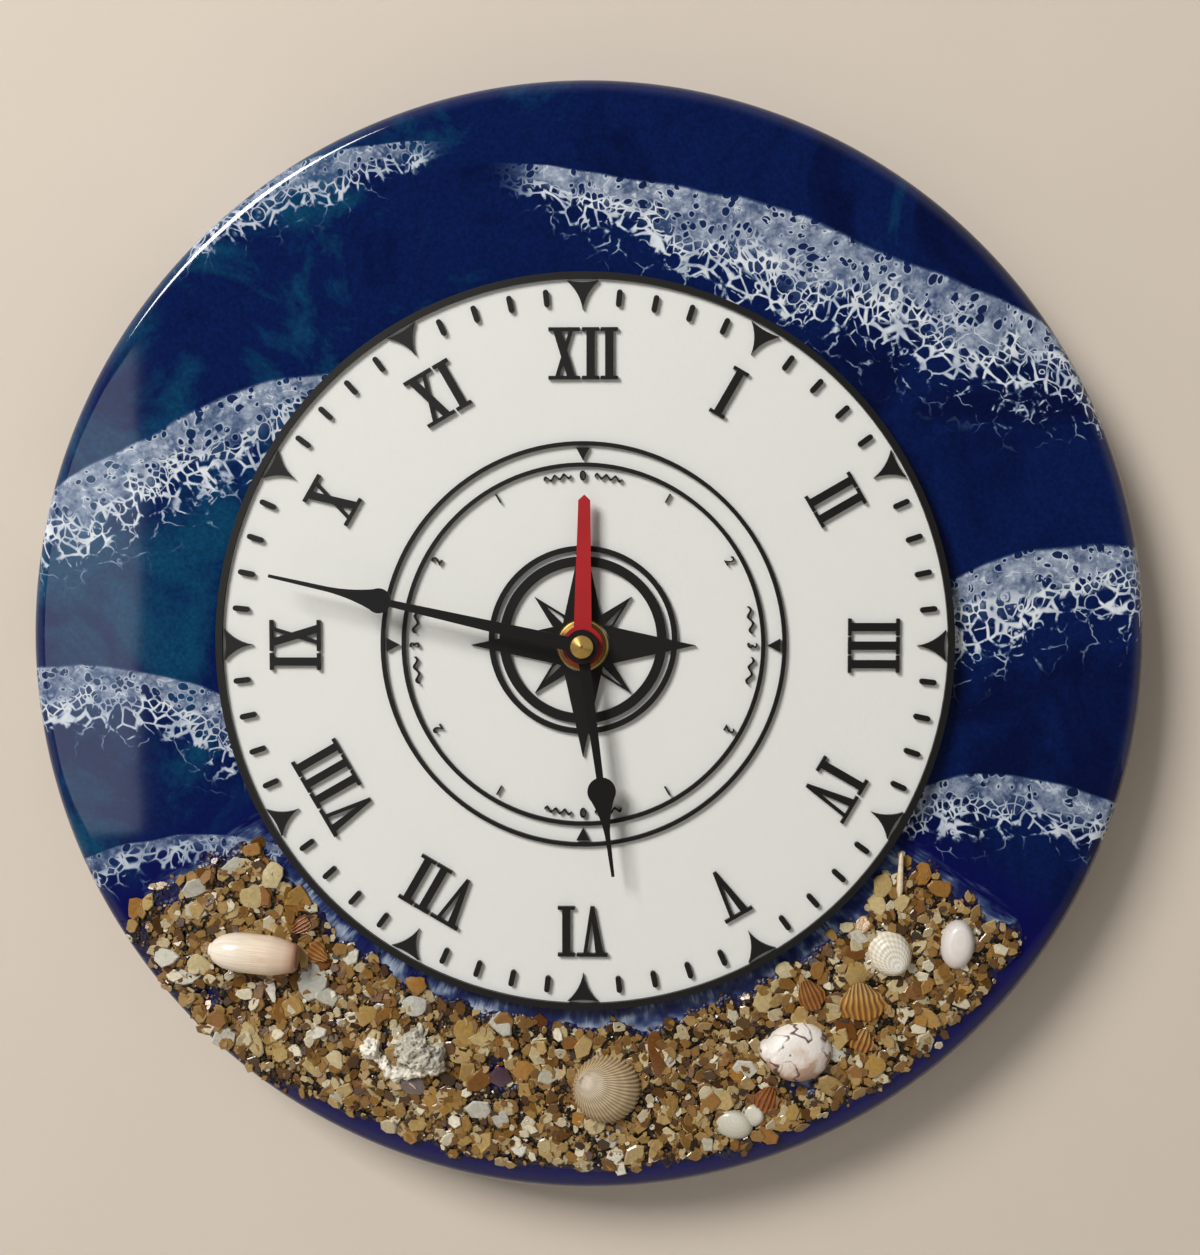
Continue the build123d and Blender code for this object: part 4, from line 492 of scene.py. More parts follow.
# Fine sand packed between the chips: many small tones, with dark gaps between the grains that are partly the
# wet resin and partly painted shade.
def packed_sand(tones):
    material, tree, place = start_material("packed_shell_sand")
    grains = add_node(tree, "ShaderNodeTexVoronoi", {"Vector": place, "Scale": 1 / 1.3})
    random_tone = add_node(tree, "ShaderNodeSeparateColor", {"Color": grains.outputs["Color"]})
    tone = add_node(tree, "ShaderNodeValToRGB", {"Fac": random_tone.outputs["Red"]}, stops=tones)
    # painted shade: each grain darkens toward its edges, so the gaps between the grains read dark
    gap = add_node(tree, "ShaderNodeMapRange", {
        "Value": grains, "From Min": 0.20, "From Max": 0.65, "To Min": 0.60, "To Max": 0.04})
    colour = add_node(tree, "ShaderNodeMix", {
        MIX_SHARE: 1.0, COLOUR_A: tone, COLOUR_B: gap}, data_type="RGBA", blend_type="MULTIPLY")
    cover = add_node(tree, "ShaderNodeAttribute", attribute_name="cover")
    covered = add_node(tree, "ShaderNodeMapRange", {
        "Value": cover.outputs["Fac"], "From Min": 0.35, "From Max": 0.7}, interpolation_type="SMOOTHSTEP")
    laid = add_node(tree, "ShaderNodeMix", {
        MIX_SHARE: covered, COLOUR_A: linear("#07083E"), COLOUR_B: colour.outputs[MIXED_COLOUR]},
        data_type="RGBA")
    bump = add_node(tree, "ShaderNodeBump", {
        "Height": grains, "Strength": 0.8, "Distance": 0.4 * MM}, invert=True)
    shader = add_node(tree, "ShaderNodeBsdfPrincipled", {
        "Base Color": laid.outputs[MIXED_COLOUR], "Roughness": 0.35, "Normal": bump})
    return close_material(material, shader)


# Whole sea shell: colour changes from the beak to the margin, darkens between the ribs,
# and carries fine growth lines across them. A piece may carry a tint toward its stain.
def sea_shell(name, beak, body, margin, groove, growth_lines, line_shade, roughness, stain="#FFFFFF"):
    material, tree, place = start_material(name)
    growth = add_node(tree, "ShaderNodeAttribute", attribute_name="growth")
    rib = add_node(tree, "ShaderNodeAttribute", attribute_name="rib")
    mottle = add_node(tree, "ShaderNodeTexNoise", {
        "Vector": place, "Scale": 1 / 2.2, "Detail": 3.0, "Roughness": 0.6})
    tone = add_node(tree, "ShaderNodeValToRGB", {"Fac": growth.outputs["Fac"]}, stops=[
        (0.0, beak), (0.18, beak), (0.58, body), (1.0, margin)])
    phase = add_node(tree, "ShaderNodeMath", {
        0: growth.outputs["Fac"], 1: growth_lines * 2 * math.pi}, operation="MULTIPLY")
    wander = add_node(tree, "ShaderNodeMath", {0: mottle, 1: 5.0, 2: phase}, operation="MULTIPLY_ADD")
    line = add_node(tree, "ShaderNodeMath", {0: wander}, operation="SINE")
    groove_share = add_node(tree, "ShaderNodeMapRange", {
        "Value": rib.outputs["Fac"], "From Min": -0.15, "From Max": 0.95, "To Min": 0.0, "To Max": 0.8})
    tint = add_node(tree, "ShaderNodeAttribute", attribute_name="tint")
    stained = add_node(tree, "ShaderNodeMix", {
        MIX_SHARE: tint.outputs["Fac"], COLOUR_A: tone, COLOUR_B: linear(stain)}, data_type="RGBA")
    grooved = add_node(tree, "ShaderNodeMix", {
        MIX_SHARE: groove_share, COLOUR_A: stained.outputs[MIXED_COLOUR], COLOUR_B: linear(groove)},
        data_type="RGBA")
    shade = add_node(tree, "ShaderNodeMapRange", {
        "Value": line, "From Min": -1.0, "From Max": 1.0, "To Min": 1 - line_shade, "To Max": 1.04})
    lined = add_node(tree, "ShaderNodeMix", {
        MIX_SHARE: 1.0, COLOUR_A: grooved.outputs[MIXED_COLOUR], COLOUR_B: shade},
        data_type="RGBA", blend_type="MULTIPLY")
    bump = add_node(tree, "ShaderNodeBump", {
        "Height": line, "Strength": 2 * line_shade, "Distance": 0.12 * MM})
    shader = add_node(tree, "ShaderNodeBsdfPrincipled", {
        "Base Color": lined.outputs[MIXED_COLOUR], "Roughness": roughness, "IOR": 1.53, "Normal": bump})
    return close_material(material, shader)


# Weathered clam: chalky white, flushed pink low down, with wandering hairline cracks and one small hole.
def cracked_shell(middle):
    material, tree, place = start_material("weathered_clam_shell")
    flush = add_node(tree, "ShaderNodeTexNoise", {"Vector": place, "Scale": 1 / 6, "Detail": 3.0})
    from_middle = add_node(tree, "ShaderNodeVectorMath", {
        0: place, 1: (middle[0] / MM, 0.0, middle[1] / MM)}, operation="SUBTRACT")
    axes = add_node(tree, "ShaderNodeSeparateXYZ", {"Vector": from_middle})
    low = add_node(tree, "ShaderNodeMath", {
        0: axes.outputs["Z"], 1: -0.035, 2: flush}, operation="MULTIPLY_ADD")
    tone = add_node(tree, "ShaderNodeValToRGB", {"Fac": low}, stops=[
        (0.40, "#EFE9E2"), (0.54, "#E2D2C6"), (0.66, "#BD9A86")])
    web = add_node(tree, "ShaderNodeTexNoise", {
        "Vector": place, "Scale": 1 / 6.5, "Detail": 2.0, "Roughness": 0.45, "Distortion": 0.4})
    off_line = add_node(tree, "ShaderNodeMath", {0: web, 1: 0.5}, operation="SUBTRACT")
    near_line = add_node(tree, "ShaderNodeMath", {0: off_line}, operation="ABSOLUTE")
    line = add_node(tree, "ShaderNodeMapRange", {
        "Value": near_line, "From Min": 0.010, "From Max": 0.034, "To Min": 0.95, "To Max": 0.0})
    breaks = add_node(tree, "ShaderNodeMapRange", {
        "Value": flush, "From Min": 0.38, "From Max": 0.50, "To Min": 0.15, "To Max": 1.0})
    crack = add_node(tree, "ShaderNodeMath", {0: line, 1: breaks}, operation="MULTIPLY")
    flat = add_node(tree, "ShaderNodeCombineXYZ", {"X": axes.outputs["X"], "Z": axes.outputs["Z"]})
    hole_round = add_node(tree, "ShaderNodeVectorMath", {0: flat, 1: (-2.6, 0.0, 0.6)}, operation="DISTANCE")
    hole_gap = add_node(tree, "ShaderNodeMath", {
        0: web, 1: 4.0, 2: hole_round.outputs["Value"]}, operation="MULTIPLY_ADD")
    hole = add_node(tree, "ShaderNodeMapRange", {
        "Value": hole_gap, "From Min": 2.6, "From Max": 3.0, "To Min": 0.9, "To Max": 0.0})
    dark = add_node(tree, "ShaderNodeMath", {0: crack, 1: hole}, operation="MAXIMUM")
    colour = add_node(tree, "ShaderNodeMix", {
        MIX_SHARE: dark, COLOUR_A: tone, COLOUR_B: linear("#4B2C20")}, data_type="RGBA")
    grain = add_node(tree, "ShaderNodeTexNoise", {"Vector": place, "Scale": 1 / 0.8, "Detail": 4.0})
    depth = add_node(tree, "ShaderNodeMath", {0: dark, 1: -0.8, 2: grain}, operation="MULTIPLY_ADD")
    bump = add_node(tree, "ShaderNodeBump", {"Height": depth, "Strength": 0.6, "Distance": 0.3 * MM})
    shader = add_node(tree, "ShaderNodeBsdfPrincipled", {
        "Base Color": colour.outputs[MIXED_COLOUR], "Roughness": 0.38, "IOR": 1.53, "Normal": bump})
    return close_material(material, shader)


# Worn coral: grey in its mass, bleached on its knob and lower lip, pitted all over, with painted shade
# darkening the middle of each pit.
def worn_coral():
    material, tree, place = start_material("worn_coral")
    bleached = add_node(tree, "ShaderNodeAttribute", attribute_name="bleached")
    cloud = add_node(tree, "ShaderNodeTexNoise", {
        "Vector": place, "Scale": 1 / 2.4, "Detail": 5.0, "Roughness": 0.65})
    mixed = add_node(tree, "ShaderNodeMath", {0: bleached.outputs["Fac"], 1: cloud}, operation="ADD")
    tone = add_node(tree, "ShaderNodeValToRGB", {"Fac": mixed}, stops=[
        (0.26, "#6A6458"), (0.46, "#A8A395"), (0.72, "#D0CABA"), (0.96, "#F0EADB")])
    pits = add_node(tree, "ShaderNodeTexVoronoi", {"Vector": place, "Scale": 1 / 1.7})
    # painted shade: the colour darkens toward the middle of each pit
    pit = add_node(tree, "ShaderNodeMapRange", {
        "Value": pits, "From Min": 0.12, "From Max": 0.30, "To Min": 0.30, "To Max": 1.0})
    colour = add_node(tree, "ShaderNodeMix", {
        MIX_SHARE: 1.0, COLOUR_A: tone, COLOUR_B: pit}, data_type="RGBA", blend_type="MULTIPLY")
    height = add_node(tree, "ShaderNodeMath", {0: pit, 1: cloud}, operation="ADD")
    bump = add_node(tree, "ShaderNodeBump", {"Height": height, "Strength": 0.7, "Distance": 0.5 * MM})
    shader = add_node(tree, "ShaderNodeBsdfPrincipled", {
        "Base Color": colour.outputs[MIXED_COLOUR], "Roughness": 0.42, "Normal": bump})
    return close_material(material, shader)


# Printed PLA: matt, with the fine slanting lines that the nozzle leaves on a top face.
def printed_pla(name, colour, pitch, roughness, line_shade):
    material, tree, place = start_material(name)
    turned = add_node(tree, "ShaderNodeMapping", {"Vector": place, "Rotation": (0, math.radians(45), 0)})
    lines = add_node(tree, "ShaderNodeTexWave", {
        "Vector": turned, "Scale": WAVE_SCALE * MM / pitch, "Distortion": 0.15, "Detail": 1.0},
        wave_type="BANDS", bands_direction="X")
    cloud = add_node(tree, "ShaderNodeTexNoise", {"Vector": place, "Scale": 1 / 18, "Detail": 2.0})
    both = add_node(tree, "ShaderNodeMath", {
        0: cloud, 1: 0.5, 2: lines.outputs["Fac"]}, operation="MULTIPLY_ADD")
    shade = add_node(tree, "ShaderNodeMapRange", {
        "Value": both, "From Min": 0.2, "From Max": 1.3, "To Min": 1 - line_shade, "To Max": 1.0})
    toned = add_node(tree, "ShaderNodeMix", {
        MIX_SHARE: 1.0, COLOUR_A: colour, COLOUR_B: shade}, data_type="RGBA", blend_type="MULTIPLY")
    bump = add_node(tree, "ShaderNodeBump", {
        "Height": lines.outputs["Fac"], "Strength": 0.25, "Distance": 0.06 * MM})
    shader = add_node(tree, "ShaderNodeBsdfPrincipled", {
        "Base Color": toned.outputs[MIXED_COLOUR], "Roughness": roughness, "IOR": 1.46, "Normal": bump})
    return close_material(material, shader)


# Sprayed paint on stamped steel: an even colour with a faint orange peel and soft gloss.
def sprayed_steel(name, colour, roughness):
    material, tree, place = start_material(name)
    peel = add_node(tree, "ShaderNodeTexNoise", {"Vector": place, "Scale": 1 / 0.5, "Detail": 2.0})
    cloud = add_node(tree, "ShaderNodeTexNoise", {"Vector": place, "Scale": 1 / 9, "Detail": 2.0})
    shade = add_node(tree, "ShaderNodeMapRange", {
        "Value": cloud, "From Min": 0.3, "From Max": 0.7, "To Min": 0.92, "To Max": 1.04})
    toned = add_node(tree, "ShaderNodeMix", {
        MIX_SHARE: 1.0, COLOUR_A: linear(colour), COLOUR_B: shade}, data_type="RGBA", blend_type="MULTIPLY")
    bump = add_node(tree, "ShaderNodeBump", {"Height": peel, "Strength": 0.2, "Distance": 0.03 * MM})
    shader = add_node(tree, "ShaderNodeBsdfPrincipled", {
        "Base Color": toned.outputs[MIXED_COLOUR], "Roughness": roughness, "IOR": 1.50, "Normal": bump})
    return close_material(material, shader)


# Metal turned on a lathe round the hub's axis: rings of fine tool marks that stretch its highlights outward.
def turned_metal(name, colour, roughness, ring_pitch):
    material, tree, place = start_material(name)
    flat = add_node(tree, "ShaderNodeVectorMath", {0: place, 1: (1.0, 0.0, 1.0)}, operation="MULTIPLY")
    radius = add_node(tree, "ShaderNodeVectorMath", {0: flat}, operation="LENGTH")
    phase = add_node(tree, "ShaderNodeMath", {
        0: radius.outputs["Value"], 1: 2 * math.pi / ring_pitch}, operation="MULTIPLY")
    ring = add_node(tree, "ShaderNodeMath", {0: phase}, operation="SINE")
    stain = add_node(tree, "ShaderNodeTexNoise", {"Vector": place, "Scale": 1 / 3, "Detail": 3.0})
    dull = add_node(tree, "ShaderNodeMapRange", {
        "Value": stain, "From Min": 0.3, "From Max": 0.7, "To Min": roughness - 0.05,
        "To Max": roughness + 0.10})
    bump = add_node(tree, "ShaderNodeBump", {"Height": ring, "Strength": 0.12, "Distance": 0.03 * MM})
    tangent = add_node(tree, "ShaderNodeTangent", direction_type="RADIAL", axis="Y")
    shader = add_node(tree, "ShaderNodeBsdfPrincipled", {
        "Base Color": linear(colour), "Metallic": 1.0, "Roughness": dull, "Anisotropic": 0.8,
        "Anisotropic Rotation": 0.25, "Tangent": tangent, "Normal": bump})
    return close_material(material, shader)


# Plain sheet or drawn metal: a rolled surface with faint streaks along one direction.
def rolled_metal(name, colour, roughness):
    material, tree, place = start_material(name)
    drawn = add_node(tree, "ShaderNodeMapping", {"Vector": place, "Scale": (4.0, 4.0, 0.25)})
    streak = add_node(tree, "ShaderNodeTexNoise", {"Vector": drawn, "Scale": 1.0, "Detail": 3.0})
    dull = add_node(tree, "ShaderNodeMapRange", {
        "Value": streak, "From Min": 0.3, "From Max": 0.7, "To Min": roughness - 0.06,
        "To Max": roughness + 0.10})
    bump = add_node(tree, "ShaderNodeBump", {"Height": streak, "Strength": 0.2, "Distance": 0.03 * MM})
    shader = add_node(tree, "ShaderNodeBsdfPrincipled", {
        "Base Color": linear(colour), "Metallic": 1.0, "Roughness": dull, "Normal": bump})
    return close_material(material, shader)


# Moulded plastic: the fine spark-eroded grain of the mould, drawn at 0.4 mm so that it shows.
def moulded_plastic(name, colour, roughness, grain_depth):
    material, tree, place = start_material(name)
    grain = add_node(tree, "ShaderNodeTexNoise", {
        "Vector": place, "Scale": 1 / 0.4, "Detail": 2.0, "Roughness": 0.6})
    cloud = add_node(tree, "ShaderNodeTexNoise", {"Vector": place, "Scale": 1 / 14, "Detail": 2.0})
    shade = add_node(tree, "ShaderNodeMapRange", {
        "Value": cloud, "From Min": 0.3, "From Max": 0.7, "To Min": 0.88, "To Max": 1.06})
    toned = add_node(tree, "ShaderNodeMix", {
        MIX_SHARE: 1.0, COLOUR_A: linear(colour), COLOUR_B: shade}, data_type="RGBA", blend_type="MULTIPLY")
    bump = add_node(tree, "ShaderNodeBump", {"Height": grain, "Strength": 0.4, "Distance": grain_depth * MM})
    shader = add_node(tree, "ShaderNodeBsdfPrincipled", {
        "Base Color": toned.outputs[MIXED_COLOUR], "Roughness": roughness, "IOR": 1.52, "Normal": bump})
    return close_material(material, shader)


# Sealed fibreboard: pressed wood fibre under a thin clear coat, flecked light and dark.
def sealed_fibreboard():
    material, tree, place = start_material("sealed_fibreboard")
    fibre = add_node(tree, "ShaderNodeTexNoise", {
        "Vector": place, "Scale": 1 / 1.6, "Detail": 5.0, "Roughness": 0.7, "Distortion": 0.6})
    cloud = add_node(tree, "ShaderNodeTexNoise", {"Vector": place, "Scale": 1 / 40, "Detail": 3.0})
    both = add_node(tree, "ShaderNodeMath", {0: cloud, 1: 0.6, 2: fibre}, operation="MULTIPLY_ADD")
    tone = add_node(tree, "ShaderNodeValToRGB", {"Fac": both}, stops=[
        (0.45, "#6B4E33"), (0.78, "#8F6D4A"), (1.0, "#A98860")])
    bump = add_node(tree, "ShaderNodeBump", {"Height": fibre, "Strength": 0.3, "Distance": 0.1 * MM})
    shader = add_node(tree, "ShaderNodeBsdfPrincipled", {
        "Base Color": tone, "Roughness": 0.46, "IOR": 1.50, "Normal": bump})
    return close_material(material, shader)


# Shrink-wrapped cell: a satin sleeve that stops short of the bright ends.
def wrapped_cell():
    battery_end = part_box("battery")[1].x / MM
    bare_end = 1.6
    pale_band = 9.0
    material, tree, place = start_material("shrink_wrapped_cell")
    along = add_node(tree, "ShaderNodeSeparateXYZ", {"Vector": place})
    end = add_node(tree, "ShaderNodeMath", {
        0: along.outputs["X"], 1: battery_end - bare_end}, operation="GREATER_THAN")
    band = add_node(tree, "ShaderNodeMath", {
        0: along.outputs["X"], 1: battery_end - pale_band}, operation="GREATER_THAN")
    cloud = add_node(tree, "ShaderNodeTexNoise", {"Vector": place, "Scale": 1 / 6, "Detail": 2.0})
    sleeve = add_node(tree, "ShaderNodeValToRGB", {"Fac": cloud}, stops=[
        (0.3, "#7E8894"), (0.7, "#8E98A3")])
    banded = add_node(tree, "ShaderNodeMix", {
        MIX_SHARE: band, COLOUR_A: sleeve, COLOUR_B: linear("#D9DBDD")}, data_type="RGBA")
    colour = add_node(tree, "ShaderNodeMix", {
        MIX_SHARE: end, COLOUR_A: banded.outputs[MIXED_COLOUR], COLOUR_B: linear("#BFC1C2")},
        data_type="RGBA")
    shader = add_node(tree, "ShaderNodeBsdfPrincipled", {
        "Base Color": colour.outputs[MIXED_COLOUR], "Metallic": end, "Roughness": 0.32})
    return close_material(material, shader)


# Enamelled wire wound in close turns along the coil, drawn at 0.3 mm so that the turns show: each turn is
# painted dark at its sides and light on its crown, as painted shade between the turns and a painted highlight
# on them.
def wound_wire():
    wire_pitch = 0.3
    material, tree, place = start_material("enamelled_copper_winding")
    turns = add_node(tree, "ShaderNodeTexWave", {
        "Vector": place, "Scale": WAVE_SCALE / wire_pitch, "Distortion": 0.3}, bands_direction="X")
    # painted shade in the grooves between the turns and a painted highlight on their crowns
    tone = add_node(tree, "ShaderNodeValToRGB", {"Fac": turns.outputs["Fac"]}, stops=[
        (0.1, "#6E3514"), (0.9, "#C27A3E")])
    bump = add_node(tree, "ShaderNodeBump", {
        "Height": turns.outputs["Fac"], "Strength": 0.6, "Distance": 0.1 * MM})
    shader = add_node(tree, "ShaderNodeBsdfPrincipled", {
        "Base Color": tone, "Metallic": 0.8, "Roughness": 0.35, "Normal": bump})
    return close_material(material, shader)


def rough_at(x, y, z):
    """Smooth noise at a place, from about -1 to 1."""
    return noise.noise(Vector((x, y, z)))


def band_faces(rings, columns, start=0):
    """Faces between rings of points that follow one another from a start, each ring closed on itself."""
    faces = []
    for ring in range(rings - 1):
        low = start + ring * columns
        high = low + columns
        for column in range(columns):
            after = (column + 1) % columns
            faces.append((low + column, low + after, high + after, high + column))
    return faces


def tube_faces(rings, columns):
    """Faces of a closed tube of rings: its bands and its two ends."""
    first_end = tuple(reversed(range(columns)))
    last_end = tuple(range((rings - 1) * columns, rings * columns))
    return band_faces(rings, columns) + [first_end, last_end]


def mesh_from(name, vertices, faces, smooth_angle=40.0):
    """Closed mesh from points and faces, with its seams merged, its faces outward and soft shading."""
    mesh = bpy.data.meshes.new(name)
    mesh.from_pydata([tuple(v) for v in vertices], [], faces)
    tidy = bmesh.new()
    tidy.from_mesh(mesh)
    bmesh.ops.remove_doubles(tidy, verts=tidy.verts, dist=1e-7)
    bmesh.ops.recalc_face_normals(tidy, faces=tidy.faces)
    tidy.to_mesh(mesh)
    tidy.free()
    mesh.shade_smooth()
    mesh.set_sharp_from_angle(angle=math.radians(smooth_angle))
    return mesh


def plain_mesh(name, holder):
    """Plain mesh of an object as its modifiers leave it. The object itself goes."""
    bpy.context.scene.collection.objects.link(holder)
    graph = bpy.context.evaluated_depsgraph_get()
    graph.update()
    mesh = bpy.data.meshes.new_from_object(
        holder.evaluated_get(graph), preserve_all_data_layers=True, depsgraph=graph)
    mesh.name = name
    bpy.data.objects.remove(holder)
    return mesh


def give_values(mesh, name, values):
    """Stores one number for each vertex of a mesh, for its material to read."""
    layer = mesh.attributes.new(name, "FLOAT", "POINT")
    layer.data.foreach_set("value", np.asarray(values, dtype=np.float32))


def add_piece(name, mesh, material, slot, *stands_for):
    """Puts a finished mesh in the scene on the clock's body, in place of the nodes that it stands for."""
    mesh.materials.clear()
    mesh.materials.append(material)
    piece = bpy.data.objects.new(name, mesh)
    bpy.context.scene.collection.objects.link(piece)
    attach(piece, "clock")
    if stands_for:
        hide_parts(*stands_for)
    return piece


def dress(material, *nodes):
    """Gives CAD nodes a material."""
    for name in nodes:
        node = NODES[name]
        node.data.materials.clear()
        node.data.materials.append(material)


def joined(name, parts):
    """One mesh from several, each moved by its own matrix."""
    whole = bmesh.new()
    for mesh, matrix in parts:
        start = len(whole.verts)
        whole.from_mesh(mesh)
        whole.verts.ensure_lookup_table()
        bmesh.ops.transform(whole, matrix=matrix, verts=whole.verts[start:])
    mesh = bpy.data.meshes.new(name)
    whole.to_mesh(mesh)
    whole.free()
    return mesh


def beach_cover(x, z):
    """Share of sand at a point of the face: one on the beach and none off it, with ragged edges."""
    radius = math.hypot(x, z)
    bearing = bearing_of(x, z)
    ragged = rough_at(x * 130, z * 130, 2.0) + 0.6 * rough_at(x * 320, z * 320, 8.0)
    # at the left the sand spills a little past its outer edge
    spill = 4.5 * MM * smooth_step(206, 218, bearing)
    inner = smooth_step(BEACH_INNER - 2 * MM, BEACH_INNER + 3 * MM, radius + 3 * MM * ragged)
    outer_edge = BEACH_OUTER + spill
    outer = 1 - smooth_step(outer_edge - 3 * MM, outer_edge + MM, radius + 2.5 * MM * ragged)
    right = smooth_step(BEACH_RIGHT - 3, BEACH_RIGHT + 2, bearing + 2.0 * ragged)
    left = 1 - smooth_step(BEACH_LEFT - 2, BEACH_LEFT + 3, bearing + 2.0 * ragged)
    # and here and there the resin lies nearly bare
    bare = smooth_step(0.30, 0.55, rough_at(x * 62, z * 62, 14.0))
    return inner * outer * right * left * (1 - 0.85 * bare)


def off_beach(x, z):
    """Distance from a point of the face to the edge of the beach, nought on it."""
    radius = math.hypot(x, z)
    bearing = bearing_of(x, z)
    inward = max(0.0, BEACH_INNER - radius)
    outward = max(0.0, radius - BEACH_OUTER)
    to_right = max(0.0, math.radians(BEACH_RIGHT - bearing)) * radius if bearing < 180 else 0.0
    to_left = max(0.0, math.radians(bearing - BEACH_LEFT)) * radius if bearing > 180 else 0.0
    return math.hypot(max(inward, outward), max(to_right, to_left))


def foam_at(x, z):
    """Share of the foam's width that a point lies below its nearest crest, and the foam's strength."""
    wobble = 3.5 * rough_at(x * 22, z * 22, 3.1) + 0.9 * rough_at(x * 90, z * 90, 9.7)
    nearest_gap = math.inf
    past_foam = 3.0
    nearest = (past_foam, 0.0)
    for middle_x, middle_z, slope, bow, half_span, width, strength in CRESTS:
        along = x / MM - middle_x
        if abs(along) < half_span:
            taper = 1 - smooth_step(0.35, 1.0, abs(along) / half_span)
            crest_z = middle_z + slope * along - bow * along * along + wobble
            below = (crest_z - z / MM) / math.hypot(1, slope)
            share = below / (width * (0.25 + 0.75 * taper))
            gap = abs(below - width / 2)
            within = smooth_step(-0.35, -0.1, share) * (1 - smooth_step(1.2, 1.5, share))
            if gap < nearest_gap:
                nearest_gap = gap
                nearest = (share, strength * within * smooth_step(0.0, 0.25, taper))
    return nearest


def wash_gap(x, z):
    """Distance in millimetres from the beach, where its foam washes up: not along the board's rim."""
    past_rim = smooth_step(BEACH_OUTER - 6 * MM, BEACH_OUTER, math.hypot(x, z))
    return off_beach(x, z) / MM + 40 * past_rim


def resin_mesh():
    """Skin of the resin, turned from its profile, with what its foam needs to know at each point."""
    flat_edge = RESIN_RADIUS - RESIN_EDGE
    face_start = DIAL_RADIUS - 2 * MM
    face_rings = 44
    edge_rings = 10
    segments = 540
    profile = [(BUSHING_RADIUS, RESIN_FRONT)]
    for ring in range(face_rings + 1):
        profile.append((face_start + (flat_edge - face_start) * ring / face_rings, RESIN_FRONT))
    for ring in range(1, edge_rings + 1):
        angle = math.pi / 2 * ring / edge_rings
        reach = flat_edge + RESIN_EDGE * math.sin(angle)
        profile.append((reach, RESIN_FRONT - RESIN_EDGE * (1 - math.cos(angle))))
    profile += [
        (RESIN_RADIUS, (RESIN_FRONT + RESIN_BACK) / 2),
        (RESIN_RADIUS, RESIN_BACK),
        (BOARD_RADIUS, RESIN_BACK),
        (BOARD_RADIUS, BOARD_FRONT),
        (BUSHING_RADIUS, BOARD_FRONT),
    ]
    vertices = []
    for segment in range(segments + 1):
        for radius, depth in profile:
            x, z = clock_point(radius, 360 * segment / segments)
            vertices.append((x, -depth, z))
    mesh = mesh_from("resin_pour", vertices, band_faces(segments + 1, len(profile)))
    points = [v.co for v in mesh.vertices]
    foam = [foam_at(p.x, p.z) for p in points]
    give_values(mesh, "below", [share for share, _ in foam])
    give_values(mesh, "strength", [strength for _, strength in foam])
    give_values(mesh, "off_beach", [off_beach(p.x, p.z) / MM for p in points])
    give_values(mesh, "wash", [wash_gap(p.x, p.z) for p in points])
    return mesh


class TIDECLOCK_OT_pour_resin(bpy.types.Operator):
    """Pour the blue resin over the board's face and edge"""

    bl_idname = "tideclock.pour_resin"
    bl_label = "Pour Resin"

    def execute(self, context):
        sea = context.scene.tide_clock_sea
        add_piece("resin_pour", resin_mesh(), poured_epoxy(sea), "blue_resin", "resin_coat")
        return {"FINISHED"}


# Tones of the fine sand, as a share of its grains: mostly dark and brown, partly the wet sand's own tone and
# partly painted shade for the gaps between the chips
GRAIN_TONES = (
    (0.00, "#100A05"), (0.30, "#26180A"), (0.58, "#443014"), (0.82, "#6C4E26"), (1.00, "#98794A"),
)
# Tones of the small flakes: dark and amber ones, then honey, tan, cream and a few grey-white ones
SAND_TONES = (
    (0.00, "#281808"), (0.10, "#4E3211"), (0.26, "#704D1B"), (0.44, "#85612D"), (0.62, "#94743F"),
    (0.78, "#A68A58"), (0.91, "#B6A885"), (1.00, "#DAD2BB"),
)
# Tones of the larger chips: rust, amber, honey, tan, cream, grey-white, white and mussel purple
CHIP_TONES = (
    (0.00, "#5E3615"), (0.10, "#7E5323"), (0.22, "#9C7033"), (0.36, "#A28246"), (0.52, "#B09864"),
    (0.68, "#C3B388"), (0.84, "#B4B3A8"), (0.93, "#D9D4C3"), (1.00, "#4A3440"),
)

# Larger chips laid one by one, in millimetres: x, z, heading, length, width and tone
LAID_CHIPS = (
    (-74.9, -92.8, 10, 11.4, 7.6, 0.84), (-106.1, -89.0, 125, 7.8, 5.4, 0.68),
    (-86.7, -95.1, 160, 8.0, 3.0, 0.90), (-90.9, -69.9, 20, 7.4, 7.0, 0.58),
    (-85.9, -64.0, 15, 8.4, 5.7, 0.68), (-69.6, -115.6, 60, 6.4, 5.6, 0.70),
    (-92.0, -109.5, 150, 11.4, 4.5, 0.60), (-60.8, -102.7, 75, 7.6, 5.7, 0.40),
    (-46.9, -100.0, 85, 7.2, 5.7, 0.84), (-46.1, -94.0, 100, 5.8, 5.0, 0.20),
    (-32.0, -107.3, 40, 8.0, 7.0, 0.36), (-33.9, -113.8, 95, 7.2, 5.3, 0.48),
    (-16.8, -117.5, 80, 6.8, 5.6, 0.24), (-22.8, -119.8, 85, 6.6, 5.3, 1.00),
    (-47.2, -122.5, 100, 7.6, 5.0, 0.99), (-42.6, -127.0, 15, 8.4, 4.0, 0.30),
    (-22.8, -131.6, 0, 4.8, 4.6, 0.84), (20.3, -112.7, 170, 12.0, 5.2, 0.04),
    (79.7, -115.7, 60, 7.6, 6.2, 0.34), (74.6, -90.4, 45, 7.9, 6.6, 0.44),
    (75.5, -79.6, 80, 6.6, 3.4, 0.97), (81.7, -65.5, 10, 7.0, 5.0, 0.52),
    (49.3, -97.8, 20, 6.4, 5.6, 0.60), (55.1, -89.2, 0, 5.2, 5.0, 0.72),
    (55.1, -131.9, 80, 7.9, 4.0, 0.30), (3.0, -133.0, 70, 6.0, 4.6, 0.64),
    (36.0, -126.0, 20, 5.4, 4.8, 0.70),
)

